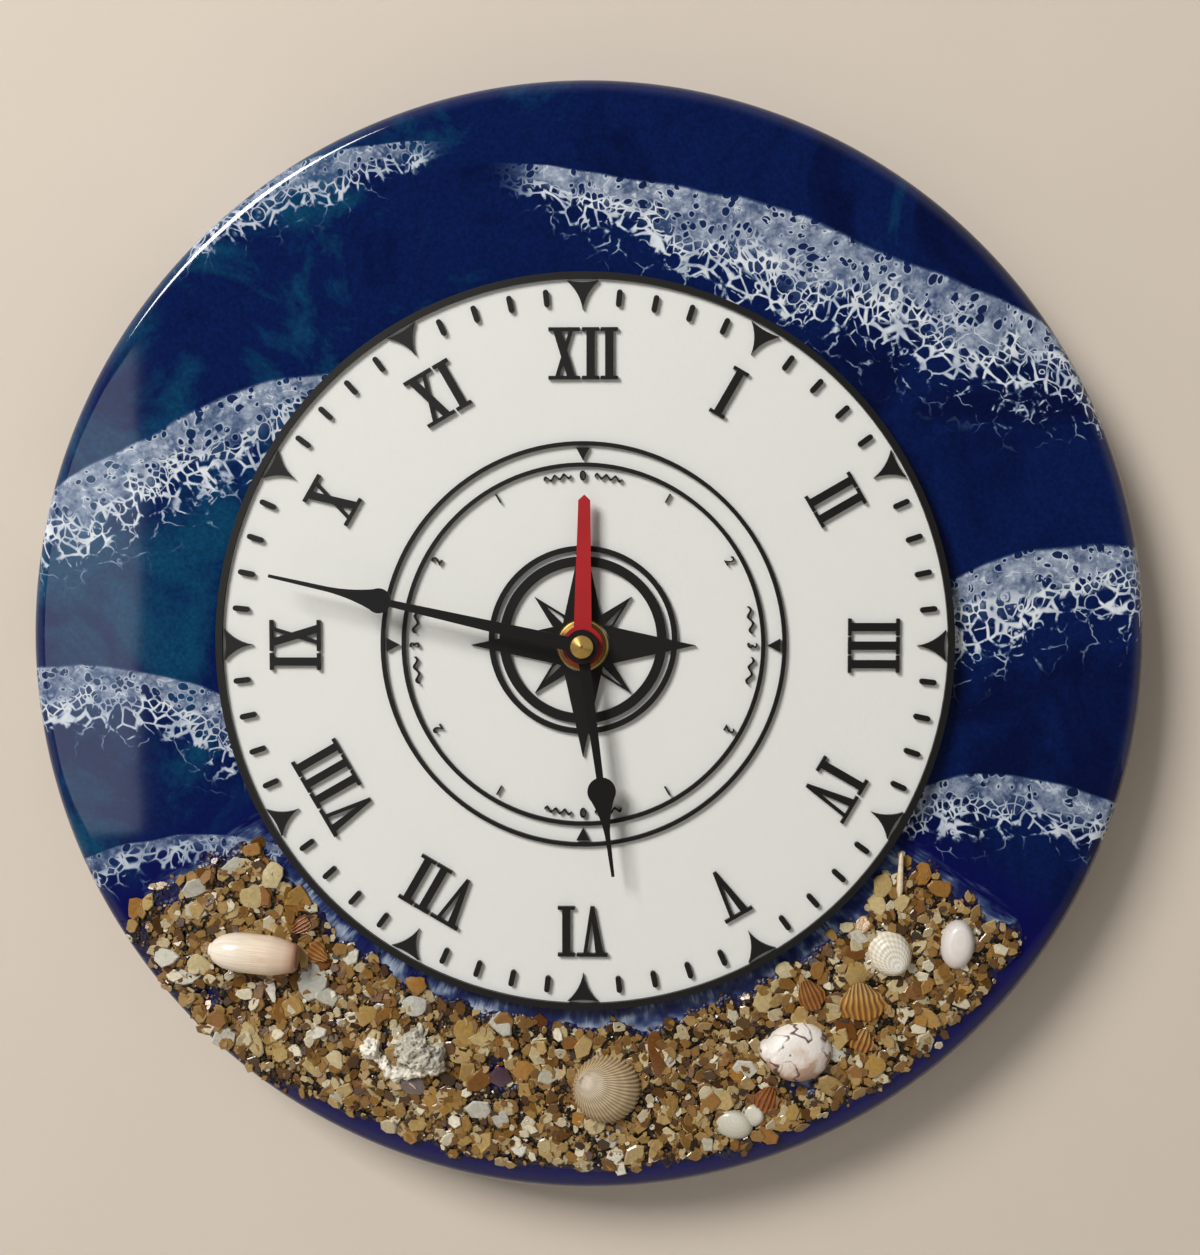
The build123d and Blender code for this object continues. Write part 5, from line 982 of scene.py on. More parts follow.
# Where the whole shells lie: bearing, share across the beach, and how far chips keep off, in millimetres
SHELL_PLACES = {
    "cockle_shell": (177.0, 0.42, 10.0),
    "white_cockle": (135.2, 0.32, 6.0),
    "cracked_clam": (152.2, 0.51, 9.0),
    "oval_clam": (128.7, 0.62, 5.5),
    "small_bivalve": (161.8, 0.82, 5.5),
    "olive_shell": (226.8, 0.45, 8.5),
    "coral_lump": (203.7, 0.44, 9.5),
    "wide_scallop": (142.0, 0.44, 5.0),
    "long_scallop": (147.0, 0.20, 3.5),
}


def shell_point(name):
    """Point (x, z) where a whole shell lies."""
    bearing, share, _ = SHELL_PLACES[name]
    return beach_point(bearing, share)


def chip_mesh(name, corners, seed):
    """One flat broken flake about a metre wide, with bevelled edges, to be scaled down."""
    rings = ((0.84, -0.06), (1.0, -0.01), (0.88, 0.05))
    reaches = [0.42 + 0.16 * rough_at(corner * 1.7, seed * 3.3, 0.5) for corner in range(corners)]
    points = []
    for share, height in rings:
        for corner in range(corners):
            angle = 2 * math.pi * (corner + 0.3 * rough_at(seed, corner, 4.0)) / corners
            reach = reaches[corner] * share
            points.append((1.15 * reach * math.cos(angle), 0.85 * reach * math.sin(angle), height))
    mesh = bpy.data.meshes.new(name)
    mesh.from_pydata(points, [], tube_faces(len(rings), corners))
    return mesh


def grain_mesh(name, seed):
    """One angular grain about a metre wide, with few faces, to be scaled down."""
    corners = 5
    points = []
    for corner in range(corners):
        angle = 2 * math.pi * corner / corners
        reach = 0.45 + 0.15 * rough_at(corner * 2.1, seed * 5.7, 1.5)
        points.append((1.1 * reach * math.cos(angle), 0.9 * reach * math.sin(angle), 0.0))
    points.append((0.06, 0.03, 0.30))
    points.append((0.0, 0.0, -0.25))
    faces = []
    for corner in range(corners):
        after = (corner + 1) % corners
        faces.append((corner, after, corners))
        faces.append((after, corner, corners + 1))
    mesh = bpy.data.meshes.new(name)
    mesh.from_pydata(points, [], faces)
    return mesh


def scatter_tree():
    """Geometry nodes that strew chips over a bed: each gets its own size, turn, tilt and tone."""
    tree = bpy.data.node_groups.new("strew_chips", "GeometryNodeTree")
    wanted = (
        ("Bed", "NodeSocketGeometry"), ("Chips", "NodeSocketCollection"), ("Kinds", "NodeSocketInt"),
        ("Density", "NodeSocketFloat"), ("Smallest", "NodeSocketFloat"), ("Largest", "NodeSocketFloat"),
        ("Smallness", "NodeSocketFloat"), ("Tilt", "NodeSocketFloat"), ("Heap", "NodeSocketFloat"),
        ("Seed", "NodeSocketInt"), ("Material", "NodeSocketMaterial"),
    )
    for name, kind in wanted:
        tree.interface.new_socket(name, in_out="INPUT", socket_type=kind)
    tree.interface.new_socket("Geometry", in_out="OUTPUT", socket_type="NodeSocketGeometry")
    given = add_node(tree, "NodeGroupInput").outputs
    cover = add_node(tree, "GeometryNodeInputNamedAttribute", {"Name": "cover"}, data_type="FLOAT")
    density = add_node(tree, "ShaderNodeMath", {
        0: cover.outputs["Attribute"], 1: given["Density"]}, operation="MULTIPLY")
    points = add_node(tree, "GeometryNodeDistributePointsOnFaces", {
        "Mesh": given["Bed"], "Density": density, "Seed": given["Seed"]})

    # the sockets of a random value go by place: first those of a vector, then a number, then a whole number
    kinds = add_node(tree, "ShaderNodeMath", {0: given["Kinds"], 1: 1.0}, operation="SUBTRACT")
    kind = add_node(tree, "FunctionNodeRandomValue", {
        4: 0, 5: kinds, "ID": add_node(tree, "GeometryNodeInputIndex"), "Seed": 11}, data_type="INT")
    share = add_node(tree, "FunctionNodeRandomValue", {2: 0.0, 3: 1.0, "Seed": 23}, data_type="FLOAT")
    bent_share = add_node(tree, "ShaderNodeMath", {
        0: share.outputs[1], 1: given["Smallness"]}, operation="POWER")
    size = add_node(tree, "ShaderNodeMapRange", {
        "Value": bent_share, "To Min": given["Smallest"], "To Max": given["Largest"]})
    least = add_node(tree, "ShaderNodeMath", {0: given["Tilt"], 1: -1.0}, operation="MULTIPLY")
    low_turn = add_node(tree, "ShaderNodeCombineXYZ", {"X": least, "Y": least, "Z": 0.0})
    high_turn = add_node(tree, "ShaderNodeCombineXYZ", {
        "X": given["Tilt"], "Y": given["Tilt"], "Z": 2 * math.pi})
    turn = add_node(tree, "FunctionNodeRandomValue", {
        0: low_turn, 1: high_turn, "Seed": 31}, data_type="FLOAT_VECTOR")
    turned = add_node(tree, "FunctionNodeEulerToRotation", {0: turn})
    placed_turn = add_node(tree, "FunctionNodeRotateRotation", {
        "Rotation": points.outputs["Rotation"], "Rotate By": turned}, rotation_space="LOCAL")
    chips = add_node(tree, "GeometryNodeCollectionInfo", {
        "Collection": given["Chips"], "Separate Children": True, "Reset Children": True})
    strewn = add_node(tree, "GeometryNodeInstanceOnPoints", {
        "Points": points.outputs["Points"], "Instance": chips, "Pick Instance": True,
        "Instance Index": kind.outputs[2], "Rotation": placed_turn, "Scale": size})
    lift = add_node(tree, "FunctionNodeRandomValue", {
        2: 0.0, 3: given["Heap"], "Seed": 41}, data_type="FLOAT")
    upward = add_node(tree, "ShaderNodeCombineXYZ", {"Y": lift.outputs[1]})
    outward = add_node(tree, "ShaderNodeVectorMath", {0: upward, "Scale": -1.0}, operation="SCALE")
    heaped = add_node(tree, "GeometryNodeTranslateInstances", {
        "Instances": strewn, "Translation": outward, "Local Space": False})
    tone = add_node(tree, "FunctionNodeRandomValue", {2: 0.0, 3: 1.0, "Seed": 53}, data_type="FLOAT")
    toned = add_node(tree, "GeometryNodeStoreNamedAttribute", {
        "Geometry": heaped, "Name": "tint", "Value": tone.outputs[1]}, data_type="FLOAT", domain="INSTANCE")
    real = add_node(tree, "GeometryNodeRealizeInstances", {"Geometry": toned})
    finished = add_node(tree, "GeometryNodeSetMaterial", {"Geometry": real, "Material": given["Material"]})
    add_node(tree, "NodeGroupOutput", {"Geometry": finished})
    return tree


def strew(name, bed, tree, chips, values):
    """Plain mesh of the chips that the tree strews over a bed."""
    group = bpy.data.collections.new(name + "_kinds")
    bpy.context.scene.collection.children.link(group)
    for mesh in chips:
        group.objects.link(bpy.data.objects.new(mesh.name, mesh))
    host = bpy.data.objects.new(name + "_bed", bed)
    modifier = host.modifiers.new("strew", "NODES")
    modifier.node_group = tree
    given = dict(values, Chips=group, Kinds=len(chips))
    for item in tree.interface.items_tree:
        if item.in_out == "INPUT" and item.name in given:
            modifier[item.identifier] = given[item.name]
    mesh = plain_mesh(name, host)
    for kind in list(group.objects):
        bpy.data.objects.remove(kind)
    bpy.data.collections.remove(group)
    return mesh


def laid_chips():
    """The larger chips laid one by one: broken flakes, each a little bent and tipped, with its own tone."""
    rings = ((0.88, -0.10), (1.0, 0.02), (0.94, 0.12), (0.70, 0.16), (0.38, 0.18))
    crown_height = 0.19
    thickness = 0.45
    corners = 14
    vertices = []
    faces = []
    tones = []
    for index, (x, z, heading, length, width, tone) in enumerate(LAID_CHIPS):
        place = seat((x * MM, z * MM), heading, SAND_FRONT + 0.4 * MM)
        tip = Matrix.Rotation(0.22 * rough_at(index * 1.3, 0.4, 6.0), 4, "X")
        lean = Matrix.Rotation(0.22 * rough_at(index * 2.1, 5.4, 1.0), 4, "Y")
        turn = place @ tip @ lean
        start = len(vertices)
        for share, height in rings:
            for corner in range(corners):
                angle = 2 * math.pi * corner / corners
                ragged = 1 + 0.34 * rough_at(math.cos(angle) * 1.6, math.sin(angle) * 1.6, index * 7.7)
                across = width / 2 * share * ragged * math.sin(angle)
                along = length / 2 * share * ragged * math.cos(angle)
                bend = -0.10 * (along / length * 2) ** 2
                rise = (height + bend) * width * thickness
                vertices.append(turn @ Vector((across * MM, along * MM, rise * MM)))
        crown = len(vertices)
        vertices.append(turn @ Vector((0, 0, crown_height * width * thickness * MM)))
        faces += band_faces(len(rings), corners, start)
        for corner in range(crown - corners, crown):
            after = corner + 1 if corner + 1 < crown else crown - corners
            faces.append((corner, after, crown))
        faces.append(tuple(reversed(range(start, start + corners))))
        tones += [tone] * (len(vertices) - start)
    mesh = mesh_from("laid_shell_chips", vertices, faces, 32)
    give_values(mesh, "tint", tones)
    return mesh


def sand_mesh():
    """Bed of the sand: a low mound that follows the beach, with the share of sand at each point."""
    low_radius = DIAL_RADIUS + 1.5 * MM
    high_radius = RESIN_RADIUS - 2 * MM
    rows = 44
    columns = 220
    first = BEACH_RIGHT - 5
    last = BEACH_LEFT + 5
    base = RESIN_FRONT - 0.2 * MM
    least_cover = 0.06
    vertices = []
    covers = []
    for row in range(rows + 1):
        radius = low_radius + (high_radius - low_radius) * row / rows
        for column in range(columns + 1):
            x, z = clock_point(radius, first + (last - first) * column / columns)
            cover = beach_cover(x, z)
            mound = 0.85 + 0.3 * rough_at(x * 90, z * 90, 1.0)
            rise = (SAND_FRONT - RESIN_FRONT) * smooth_step(0.05, 0.5, cover) * mound
            vertices.append((x, -(base + rise), z))
            covers.append(cover)
    faces = []
    for row in range(rows):
        for column in range(columns):
            corner = row * (columns + 1) + column
            ring = (corner, corner + columns + 1, corner + columns + 2, corner + 1)
            if max(covers[index] for index in ring) > least_cover:
                faces.append(ring)
    bed = bpy.data.meshes.new("sand_layer")
    bed.from_pydata(vertices, [], faces)
    give_values(bed, "cover", covers)
    tidy = bmesh.new()
    tidy.from_mesh(bed)
    loose = [vertex for vertex in tidy.verts if not vertex.link_faces]
    bmesh.ops.delete(tidy, geom=loose, context="VERTS")
    if sum(face.normal.y for face in tidy.faces) > 0:
        bmesh.ops.reverse_faces(tidy, faces=tidy.faces)
    tidy.to_mesh(bed)
    tidy.free()
    bed.shade_smooth()
    return bed


def cleared(bed):
    """Copy of the bed on which no chip falls where a whole shell lies."""
    clear = bed.copy()
    cover = np.zeros(len(clear.vertices), dtype=np.float32)
    clear.attributes["cover"].data.foreach_get("value", cover)
    for bearing, share, keep_off in SHELL_PLACES.values():
        middle = beach_point(bearing, share)
        for index, vertex in enumerate(clear.vertices):
            if math.hypot(vertex.co.x - middle[0], vertex.co.z - middle[1]) < keep_off * MM:
                cover[index] = 0.0
    clear.attributes["cover"].data.foreach_set("value", cover)
    return clear


class TIDECLOCK_OT_lay_beach(bpy.types.Operator):
    """Lay the bed of sand and strew its grains and chips"""

    bl_idname = "tideclock.lay_beach"
    bl_label = "Lay Beach"

    def execute(self, context):
        beach = context.scene.tide_clock_beach
        bed = sand_mesh()
        tree = scatter_tree()
        grains = [grain_mesh("grain_%d" % kind, kind) for kind in range(5)]
        chips = [chip_mesh("chip_%d" % kind, 5 + kind % 4, kind) for kind in range(8)]
        fine = tumbled_shell("tumbled_fine_sand", GRAIN_TONES, 0.34)
        sand = tumbled_shell("tumbled_shell_sand", SAND_TONES, 0.26)
        large = tumbled_shell("broken_shell_chips", CHIP_TONES, 0.20)
        fine_mesh = strew("sand_grains", bed, tree, grains, {
            "Density": 7.0e5, "Smallest": beach.grain, "Largest": 2.2 * beach.grain, "Smallness": 1.2,
            "Tilt": 1.2, "Heap": 0.4 * MM, "Seed": beach.seed, "Material": fine})
        chip_field = strew("sand_chips", bed, tree, chips, {
            "Density": 3.6e5, "Smallest": 1.9 * beach.grain, "Largest": beach.chip, "Smallness": 1.4,
            "Tilt": 0.32, "Heap": 1.0 * MM, "Seed": beach.seed + 1, "Material": sand})
        large_mesh = strew("loose_shell_chips", cleared(bed), tree, chips, {
            "Density": 1.5e4, "Smallest": beach.chip, "Largest": beach.large_chip, "Smallness": 1.6,
            "Tilt": 0.30, "Heap": 1.3 * MM, "Seed": beach.seed + 2, "Material": large})
        add_piece("sand_layer", bed, packed_sand(GRAIN_TONES), "shell_sand", "sand_bed")
        add_piece("sand_grains", fine_mesh, fine, "shell_sand")
        add_piece("sand_chips", chip_field, sand, "shell_sand")
        add_piece("loose_shell_chips", large_mesh, large, "sea_shell")
        add_piece("laid_shell_chips", laid_chips(), large, "sea_shell", "shell_chips")
        return {"FINISHED"}


def valve(name, matrix, size, beak, ribs, rib_depth, fullness):
    """One shell valve: outlines that shrink toward its beak, ribbed along its growth, set in the sand.

    The size is its length, width and height in millimetres. The beak's shift is a share of the length, and
    the ribs' depth a share of the reach. A fullness below one makes the valve rounder.
    """
    length, width, height = (side * MM for side in size)
    sunk = 0.9 * MM
    rows = 34
    columns = max(96, ribs * 8)
    vertices = []
    for column in range(columns):
        angle = 2 * math.pi * column / columns
        vertices.append(matrix @ Vector((width / 2 * math.sin(angle), length / 2 * math.cos(angle), -sunk)))
    growth = [1.0] * columns
    grooves = [0.0] * columns
    for row in range(rows):
        angle_up = math.radians(89.0 * row / (rows - 1))
        scale = math.cos(angle_up) ** fullness
        shift = beak * length * (1 - scale)
        for column in range(columns):
            angle = 2 * math.pi * column / columns
            groove = 0.5 - 0.5 * math.cos(ribs * angle)
            bulge = 1 - rib_depth * groove
            x = width / 2 * scale * bulge * math.sin(angle)
            y = length / 2 * scale * bulge * math.cos(angle) + shift
            z = height * math.sin(angle_up) * (1 - 0.4 * rib_depth * groove)
            vertices.append(matrix @ Vector((x, y, z)))
            growth.append(scale)
            grooves.append(groove * min(1.0, scale * 2.4) if rib_depth else 0.0)
    mesh = mesh_from(name, vertices, tube_faces(rows + 1, columns), 55)
    give_values(mesh, "growth", growth)
    give_values(mesh, "rib", grooves)
    return mesh


def olive(matrix, length, radius):
    """Barrel of an olive shell on its side: a blunt nose, full flanks, and a worn end with a sunk ring."""
    rows = 60
    columns = 72
    profile = []
    for row in range(rows + 1):
        share = row / rows
        nose = math.sqrt(max(0.10, 1 - (1 - min(1.0, share / 0.44)) ** 2.6))
        shoulder = 1 - 0.32 * smooth_step(0.66, 1.06, share) - 0.10 * smooth_step(0.95, 1.0, share) ** 2
        profile.append((length * (share - 0.5), radius * nose * shoulder))
    for share, sunk in ((0.52, 0.02), (0.46, 0.12), (0.42, 0.55), (0.26, 0.62), (0.20, 0.30), (0.06, 0.22)):
        profile.append((length / 2 - sunk * MM, radius * share))
    vertices = []
    growth = []
    turns = []
    for y, reach in profile:
        for column in range(columns):
            angle = 2 * math.pi * column / columns
            vertices.append(matrix @ Vector((reach * math.sin(angle), y, reach * math.cos(angle))))
            growth.append(y / length + 0.5 if reach > 0.57 * radius or y < 0 else 1.0)
            turns.append(abs(1 - 2 * column / columns))
    mesh = mesh_from("olive_shell_body", vertices, tube_faces(len(profile), columns), 180)
    give_values(mesh, "growth", growth)
    give_values(mesh, "turn", turns)
    return mesh


# Olive shell: polished cream with fine long streaks of tan, pinker and browner toward its flat end.
def polished_olive():
    material, tree, place = start_material("polished_olive_shell")
    growth = add_node(tree, "ShaderNodeAttribute", attribute_name="growth")
    turn = add_node(tree, "ShaderNodeAttribute", attribute_name="turn")
    unrolled = add_node(tree, "ShaderNodeCombineXYZ", {"X": turn.outputs["Fac"], "Y": growth.outputs["Fac"]})
    drawn = add_node(tree, "ShaderNodeVectorMath", {0: unrolled, 1: (46.0, 2.2, 1.0)}, operation="MULTIPLY")
    streak = add_node(tree, "ShaderNodeTexNoise", {
        "Vector": drawn, "Scale": 1.0, "Detail": 4.0, "Roughness": 0.6})
    cloud = add_node(tree, "ShaderNodeTexNoise", {"Vector": place, "Scale": 1 / 5, "Detail": 2.0})
    body = add_node(tree, "ShaderNodeValToRGB", {"Fac": growth.outputs["Fac"]}, stops=[
        (0.0, "#F1E8DA"), (0.5, "#EEDFC9"), (0.86, "#E3CBB4"), (0.97, "#B58A72")])
    line = add_node(tree, "ShaderNodeMapRange", {
        "Value": streak, "From Min": 0.48, "From Max": 0.72, "To Min": 0.0, "To Max": 0.75})
    line_here = add_node(tree, "ShaderNodeMath", {0: line, 1: cloud}, operation="MULTIPLY")
    streaked = add_node(tree, "ShaderNodeMix", {
        MIX_SHARE: line_here, COLOUR_A: body, COLOUR_B: linear("#B07A52")}, data_type="RGBA")
    shader = add_node(tree, "ShaderNodeBsdfPrincipled", {
        "Base Color": streaked.outputs[MIXED_COLOUR], "Roughness": 0.18, "IOR": 1.53})
    return close_material(material, shader)


# Balls that the coral grows from, in millimetres: x, z, and radius
CORAL_BALLS = (
    (-9.0, 1.2, 2.8), (-10.2, 3.8, 1.0), (-7.6, 3.2, 0.9), (-7.0, -0.4, 1.9), (-5.9, -2.0, 1.8),
    (-5.2, -3.8, 1.9), (-3.8, -5.2, 2.0), (-2.0, -5.7, 1.9), (0.0, -5.6, 1.9), (2.2, -5.4, 2.1),
    (4.6, -5.0, 2.4), (3.4, 0.8, 4.3), (6.6, -0.8, 4.2), (8.4, -2.8, 3.2), (3.0, 4.6, 2.5),
    (1.2, 4.6, 1.6), (4.4, 6.6, 1.3), (-0.4, 1.2, 2.2), (0.4, -2.2, 2.2), (9.4, 0.8, 2.3),
)


def coral(matrix):
    """Lump of coral: balls fused into one rough skin, with a knob on a neck and a thick lower lip."""
    lump = bmesh.new()
    for x, z, radius in CORAL_BALLS:
        place = Matrix.Translation((x * MM, z * MM, 0.25 * radius * MM)) @ Matrix.Diagonal((1, 1, 0.85, 1))
        bmesh.ops.create_icosphere(lump, subdivisions=3, radius=radius * MM, matrix=place)
    balls = bpy.data.meshes.new("coral_balls")
    lump.to_mesh(balls)
    lump.free()
    holder = bpy.data.objects.new("coral_balls", balls)
    fuse = holder.modifiers.new("fuse", "REMESH")
    fuse.mode = "VOXEL"
    fuse.voxel_size = 0.32 * MM
    mesh = plain_mesh("coral_piece", holder)
    moved = []
    bleached = []
    for vertex in mesh.vertices:
        place = vertex.co / MM
        rough = noise.fractal(place * 0.42 + Vector((3, 1, 7)), 0.6, 2.1, 4)
        moved.append(vertex.co + vertex.normal * 0.95 * MM * rough)
        knob = 1 - smooth_step(-5.0, -2.0, place.x)
        lip = 1 - smooth_step(-5.0, -2.6, place.y)
        bleached.append(0.42 * max(knob, lip) + 0.25 * rough)
    for vertex, place in zip(mesh.vertices, moved):
        vertex.co = place
    mesh.transform(matrix)
    give_values(mesh, "bleached", bleached)
    mesh.shade_smooth()
    return mesh


def fan(seed, matrix, length, spread, ribs, tint):
    """Broken piece of a ribbed fan: curved, with rounded ribs and a ragged edge."""
    rows = 16
    columns = ribs * 8
    thickness = 0.9 * MM
    vertices = []
    growth = []
    grooves = []
    for side in (1, 0):
        for row in range(rows + 1):
            along = row / rows
            for column in range(columns + 1):
                across = 2 * column / columns - 1
                ragged = 0.10 * rough_at(across * 2.3, seed * 4.1, 2.2)
                rounded = 1 - 0.42 * across * across
                reach = length * ((along - 0.5) * rounded + ragged * along)
                uneven = 1 + 0.12 * rough_at(along * 3, seed * 2.7, across)
                half = length * spread * (0.55 + 0.45 * math.sin(2.2 * along)) * uneven
                groove = 0.5 - 0.5 * math.cos(2 * math.pi * ribs * (across + 1) / 2)
                dome = 0.16 * length * (1 - across * across) * (1 - 0.5 * along)
                height = dome + (thickness - 0.45 * MM * groove if side else 0.0)
                vertices.append(matrix @ Vector((half * across, reach, height)))
                growth.append(along)
                grooves.append(groove)
    sheet = (rows + 1) * (columns + 1)
    faces = []
    for row in range(rows):
        for column in range(columns):
            corner = row * (columns + 1) + column
            ring = (corner, corner + 1, corner + columns + 2, corner + columns + 1)
            faces.append(ring)
            faces.append(tuple(sheet + index for index in reversed(ring)))
    rim = list(range(columns + 1))
    rim += [row * (columns + 1) + columns for row in range(1, rows + 1)]
    rim += [rows * (columns + 1) + column for column in range(columns - 1, -1, -1)]
    rim += [row * (columns + 1) for row in range(rows - 1, 0, -1)]
    for index, corner in enumerate(rim):
        after = rim[(index + 1) % len(rim)]
        faces.append((after, corner, sheet + corner, sheet + after))
    mesh = bpy.data.meshes.new("scallop_piece")
    mesh.from_pydata(vertices, [], faces)
    give_values(mesh, "growth", growth)
    give_values(mesh, "rib", grooves)
    give_values(mesh, "tint", [tint] * len(vertices))
    return mesh


def spine(matrix, length, root, tip):
    """Slender fluted spine with a rounded foot, lying on the sand."""
    rows = 18
    columns = 24
    flutes = 8
    flute_depth = 0.06
    vertices = []
    for row in range(rows + 1):
        share = row / rows
        rounded = min(1.0, 4.0 * share + 0.45) * min(1.0, 6.0 * (1 - share) + 0.4)
        reach = (root + (tip - root) * share) * rounded
        for column in range(columns):
            angle = 2 * math.pi * column / columns
            fluted = reach * (1 - flute_depth * (0.5 - 0.5 * math.cos(flutes * angle)))
            x = fluted * math.sin(angle)
            z = root + fluted * math.cos(angle)
            vertices.append(matrix @ Vector((x, length * share, z)))
    return mesh_from("spine_body", vertices, tube_faces(rows + 1, columns), 60)


# Broken scallop pieces: bearing, share across the beach, heading, length in millimetres, spread, ribs, tint
SCALLOPS = (
    (*SHELL_PLACES["wide_scallop"][:2], 172.0, 10.4, 0.62, 8, 0.0),
    (*SHELL_PLACES["long_scallop"][:2], 158.0, 9.0, 0.42, 6, 0.7),
    (144.9, 0.66, 200.0, 6.4, 0.60, 5, 0.35),
    (158.0, 0.72, 200.0, 7.6, 0.46, 5, 1.0),
    (220.6, 0.16, 300.0, 6.0, 0.50, 5, 0.6),
    (225.0, 0.10, 60.0, 5.4, 0.48, 5, 0.9),
)


class TIDECLOCK_OT_place_shells(bpy.types.Operator):
    """Place the whole shells, the coral, the spine and the broken scallop"""

    bl_idname = "tideclock.place_shells"
    bl_label = "Place Shells"

    def execute(self, context):
        tan_cockle = sea_shell(
            "ribbed_cockle_shell", "#F4EADA", "#DCCBAA", "#C9B28A", "#8A6C46", 5, 0.10, 0.30)
        white_cockle = sea_shell(
            "white_cockle_shell", "#EFECE4", "#F0EBDD", "#EDE7D4", "#CFC6B0", 7, 0.20, 0.30)
        smooth_white = sea_shell(
            "porcelain_clam_shell", "#E6E0DC", "#E0DAD6", "#CFC8C4", "#CFC8C4", 3, 0.01, 0.16)
        small_white = sea_shell(
            "small_clam_shell", "#D9D6CA", "#C9C6B8", "#B4B0A0", "#B9B3A2", 5, 0.02, 0.26)
        amber_scallop = sea_shell(
            "amber_scallop_shell", "#D8B070", "#C79445", "#B57A30", "#5E3510", 2, 0.12, 0.24, stain="#9A5A28")
        spine_bone = tumbled_shell("bleached_spine", ((0.0, "#D9C7A4"), (1.0, "#E6D8B8")), 0.35)

        cockle_seat = seat(shell_point("cockle_shell"), 303.0, SAND_FRONT)
        tan_valve = valve("cockle_valve", cockle_seat, (18.8, 19.4, 6.0), 0.45, 44, 0.042, 0.8)
        add_piece("cockle_valve", tan_valve, tan_cockle, "sea_shell", "cockle_shell")
        white_seat = seat(shell_point("white_cockle"), 148.0, SAND_FRONT)
        white_valve = valve("white_cockle_valve", white_seat, (12.5, 11.7, 4.2), 0.32, 24, 0.008, 0.8)
        add_piece("white_cockle_valve", white_valve, white_cockle, "sea_shell", "white_cockle")
        clam_place = shell_point("cracked_clam")
        clam_seat = seat(clam_place, 262.0, SAND_FRONT)
        beak_seat = seat((clam_place[0] - 8.0 * MM, clam_place[1] + 0.2 * MM), 250.0, SAND_FRONT)
        clam = joined("clam_valve", [
            (valve("clam_body", clam_seat, (18.6, 16.3, 5.6), 0.24, 12, 0.0, 0.72), Matrix()),
            (valve("clam_beak", beak_seat, (5.6, 6.4, 3.6), 0.15, 12, 0.0, 0.70), Matrix())])
        clam.shade_smooth()
        add_piece("clam_valve", clam, cracked_shell(clam_place), "sea_shell", "cracked_clam")
        oval_seat = seat(shell_point("oval_clam"), 5.0, SAND_FRONT)
        oval_valve = valve("oval_valve", oval_seat, (13.6, 9.2, 4.0), 0.18, 12, 0.0, 0.65)
        add_piece("oval_valve", oval_valve, smooth_white, "sea_shell", "oval_clam")
        pair_left = seat(beach_point(162.6, 0.82), 12.0, SAND_FRONT)
        pair_right = seat(beach_point(160.2, 0.80), 62.0, SAND_FRONT)
        pair = joined("small_pair", [
            (valve("left_leaf", pair_left, (8.0, 10.6, 2.0), 0.30, 12, 0.0, 0.85), Matrix()),
            (valve("right_leaf", pair_right, (6.2, 6.4, 1.6), 0.30, 12, 0.0, 0.85), Matrix())])
        pair.shade_smooth()
        add_piece("small_pair", pair, small_white, "sea_shell", "small_bivalve")

        olive_radius = 5.4 * MM
        olive_seat = seat(shell_point("olive_shell"), 96.0, SAND_FRONT + 0.65 * olive_radius)
        olive_mesh = olive(olive_seat, 24.4 * MM, olive_radius)
        add_piece("olive_shell_body", olive_mesh, polished_olive(), "sea_shell", "olive_shell")
        coral_seat = seat(shell_point("coral_lump"), 0.0, SAND_FRONT)
        add_piece("coral_piece", coral(coral_seat), worn_coral(), "coral", "coral_lump")
        spine_seat = seat(beach_point(128.5, 0.1), 2.0, SAND_FRONT)
        spine_mesh = spine(spine_seat, 12.0 * MM, 0.95 * MM, 0.6 * MM)
        give_values(spine_mesh, "tint", [0.5] * len(spine_mesh.vertices))
        add_piece("spine_body", spine_mesh, spine_bone, "sea_shell", "sea_spine")

        pieces = []
        for index, (bearing, share, heading, length, spread, ribs, tint) in enumerate(SCALLOPS):
            place = seat(beach_point(bearing, share), heading, SAND_FRONT)
            pieces.append((fan(index, place, length * MM, spread, ribs, tint), Matrix()))
        scallops = joined("scallop_pieces", pieces)
        scallops.shade_smooth()
        scallops.set_sharp_from_angle(angle=math.radians(60))
        add_piece("scallop_pieces", scallops, amber_scallop, "scallop_shell", "scallop_fragments")
        return {"FINISHED"}


def figure(text, height, thickness):
    """Mesh of one plain figure, centred, standing on its face."""
    curve = bpy.data.curves.new("figure", "FONT")
    curve.body = text
    curve.extrude = thickness / 2
    curve.resolution_u = 4
    mesh = plain_mesh("figure", bpy.data.objects.new("figure", curve))
    points = np.array([vertex.co for vertex in mesh.vertices])
    low = points.min(axis=0)
    high = points.max(axis=0)
    scale = height / (high[1] - low[1])
    centre = (low + high) / 2
    to_middle = Matrix.Translation((-centre[0], -centre[1], thickness / 2))
    mesh.transform(Matrix.Diagonal((scale, scale, 1, 1)) @ to_middle)
    return mesh


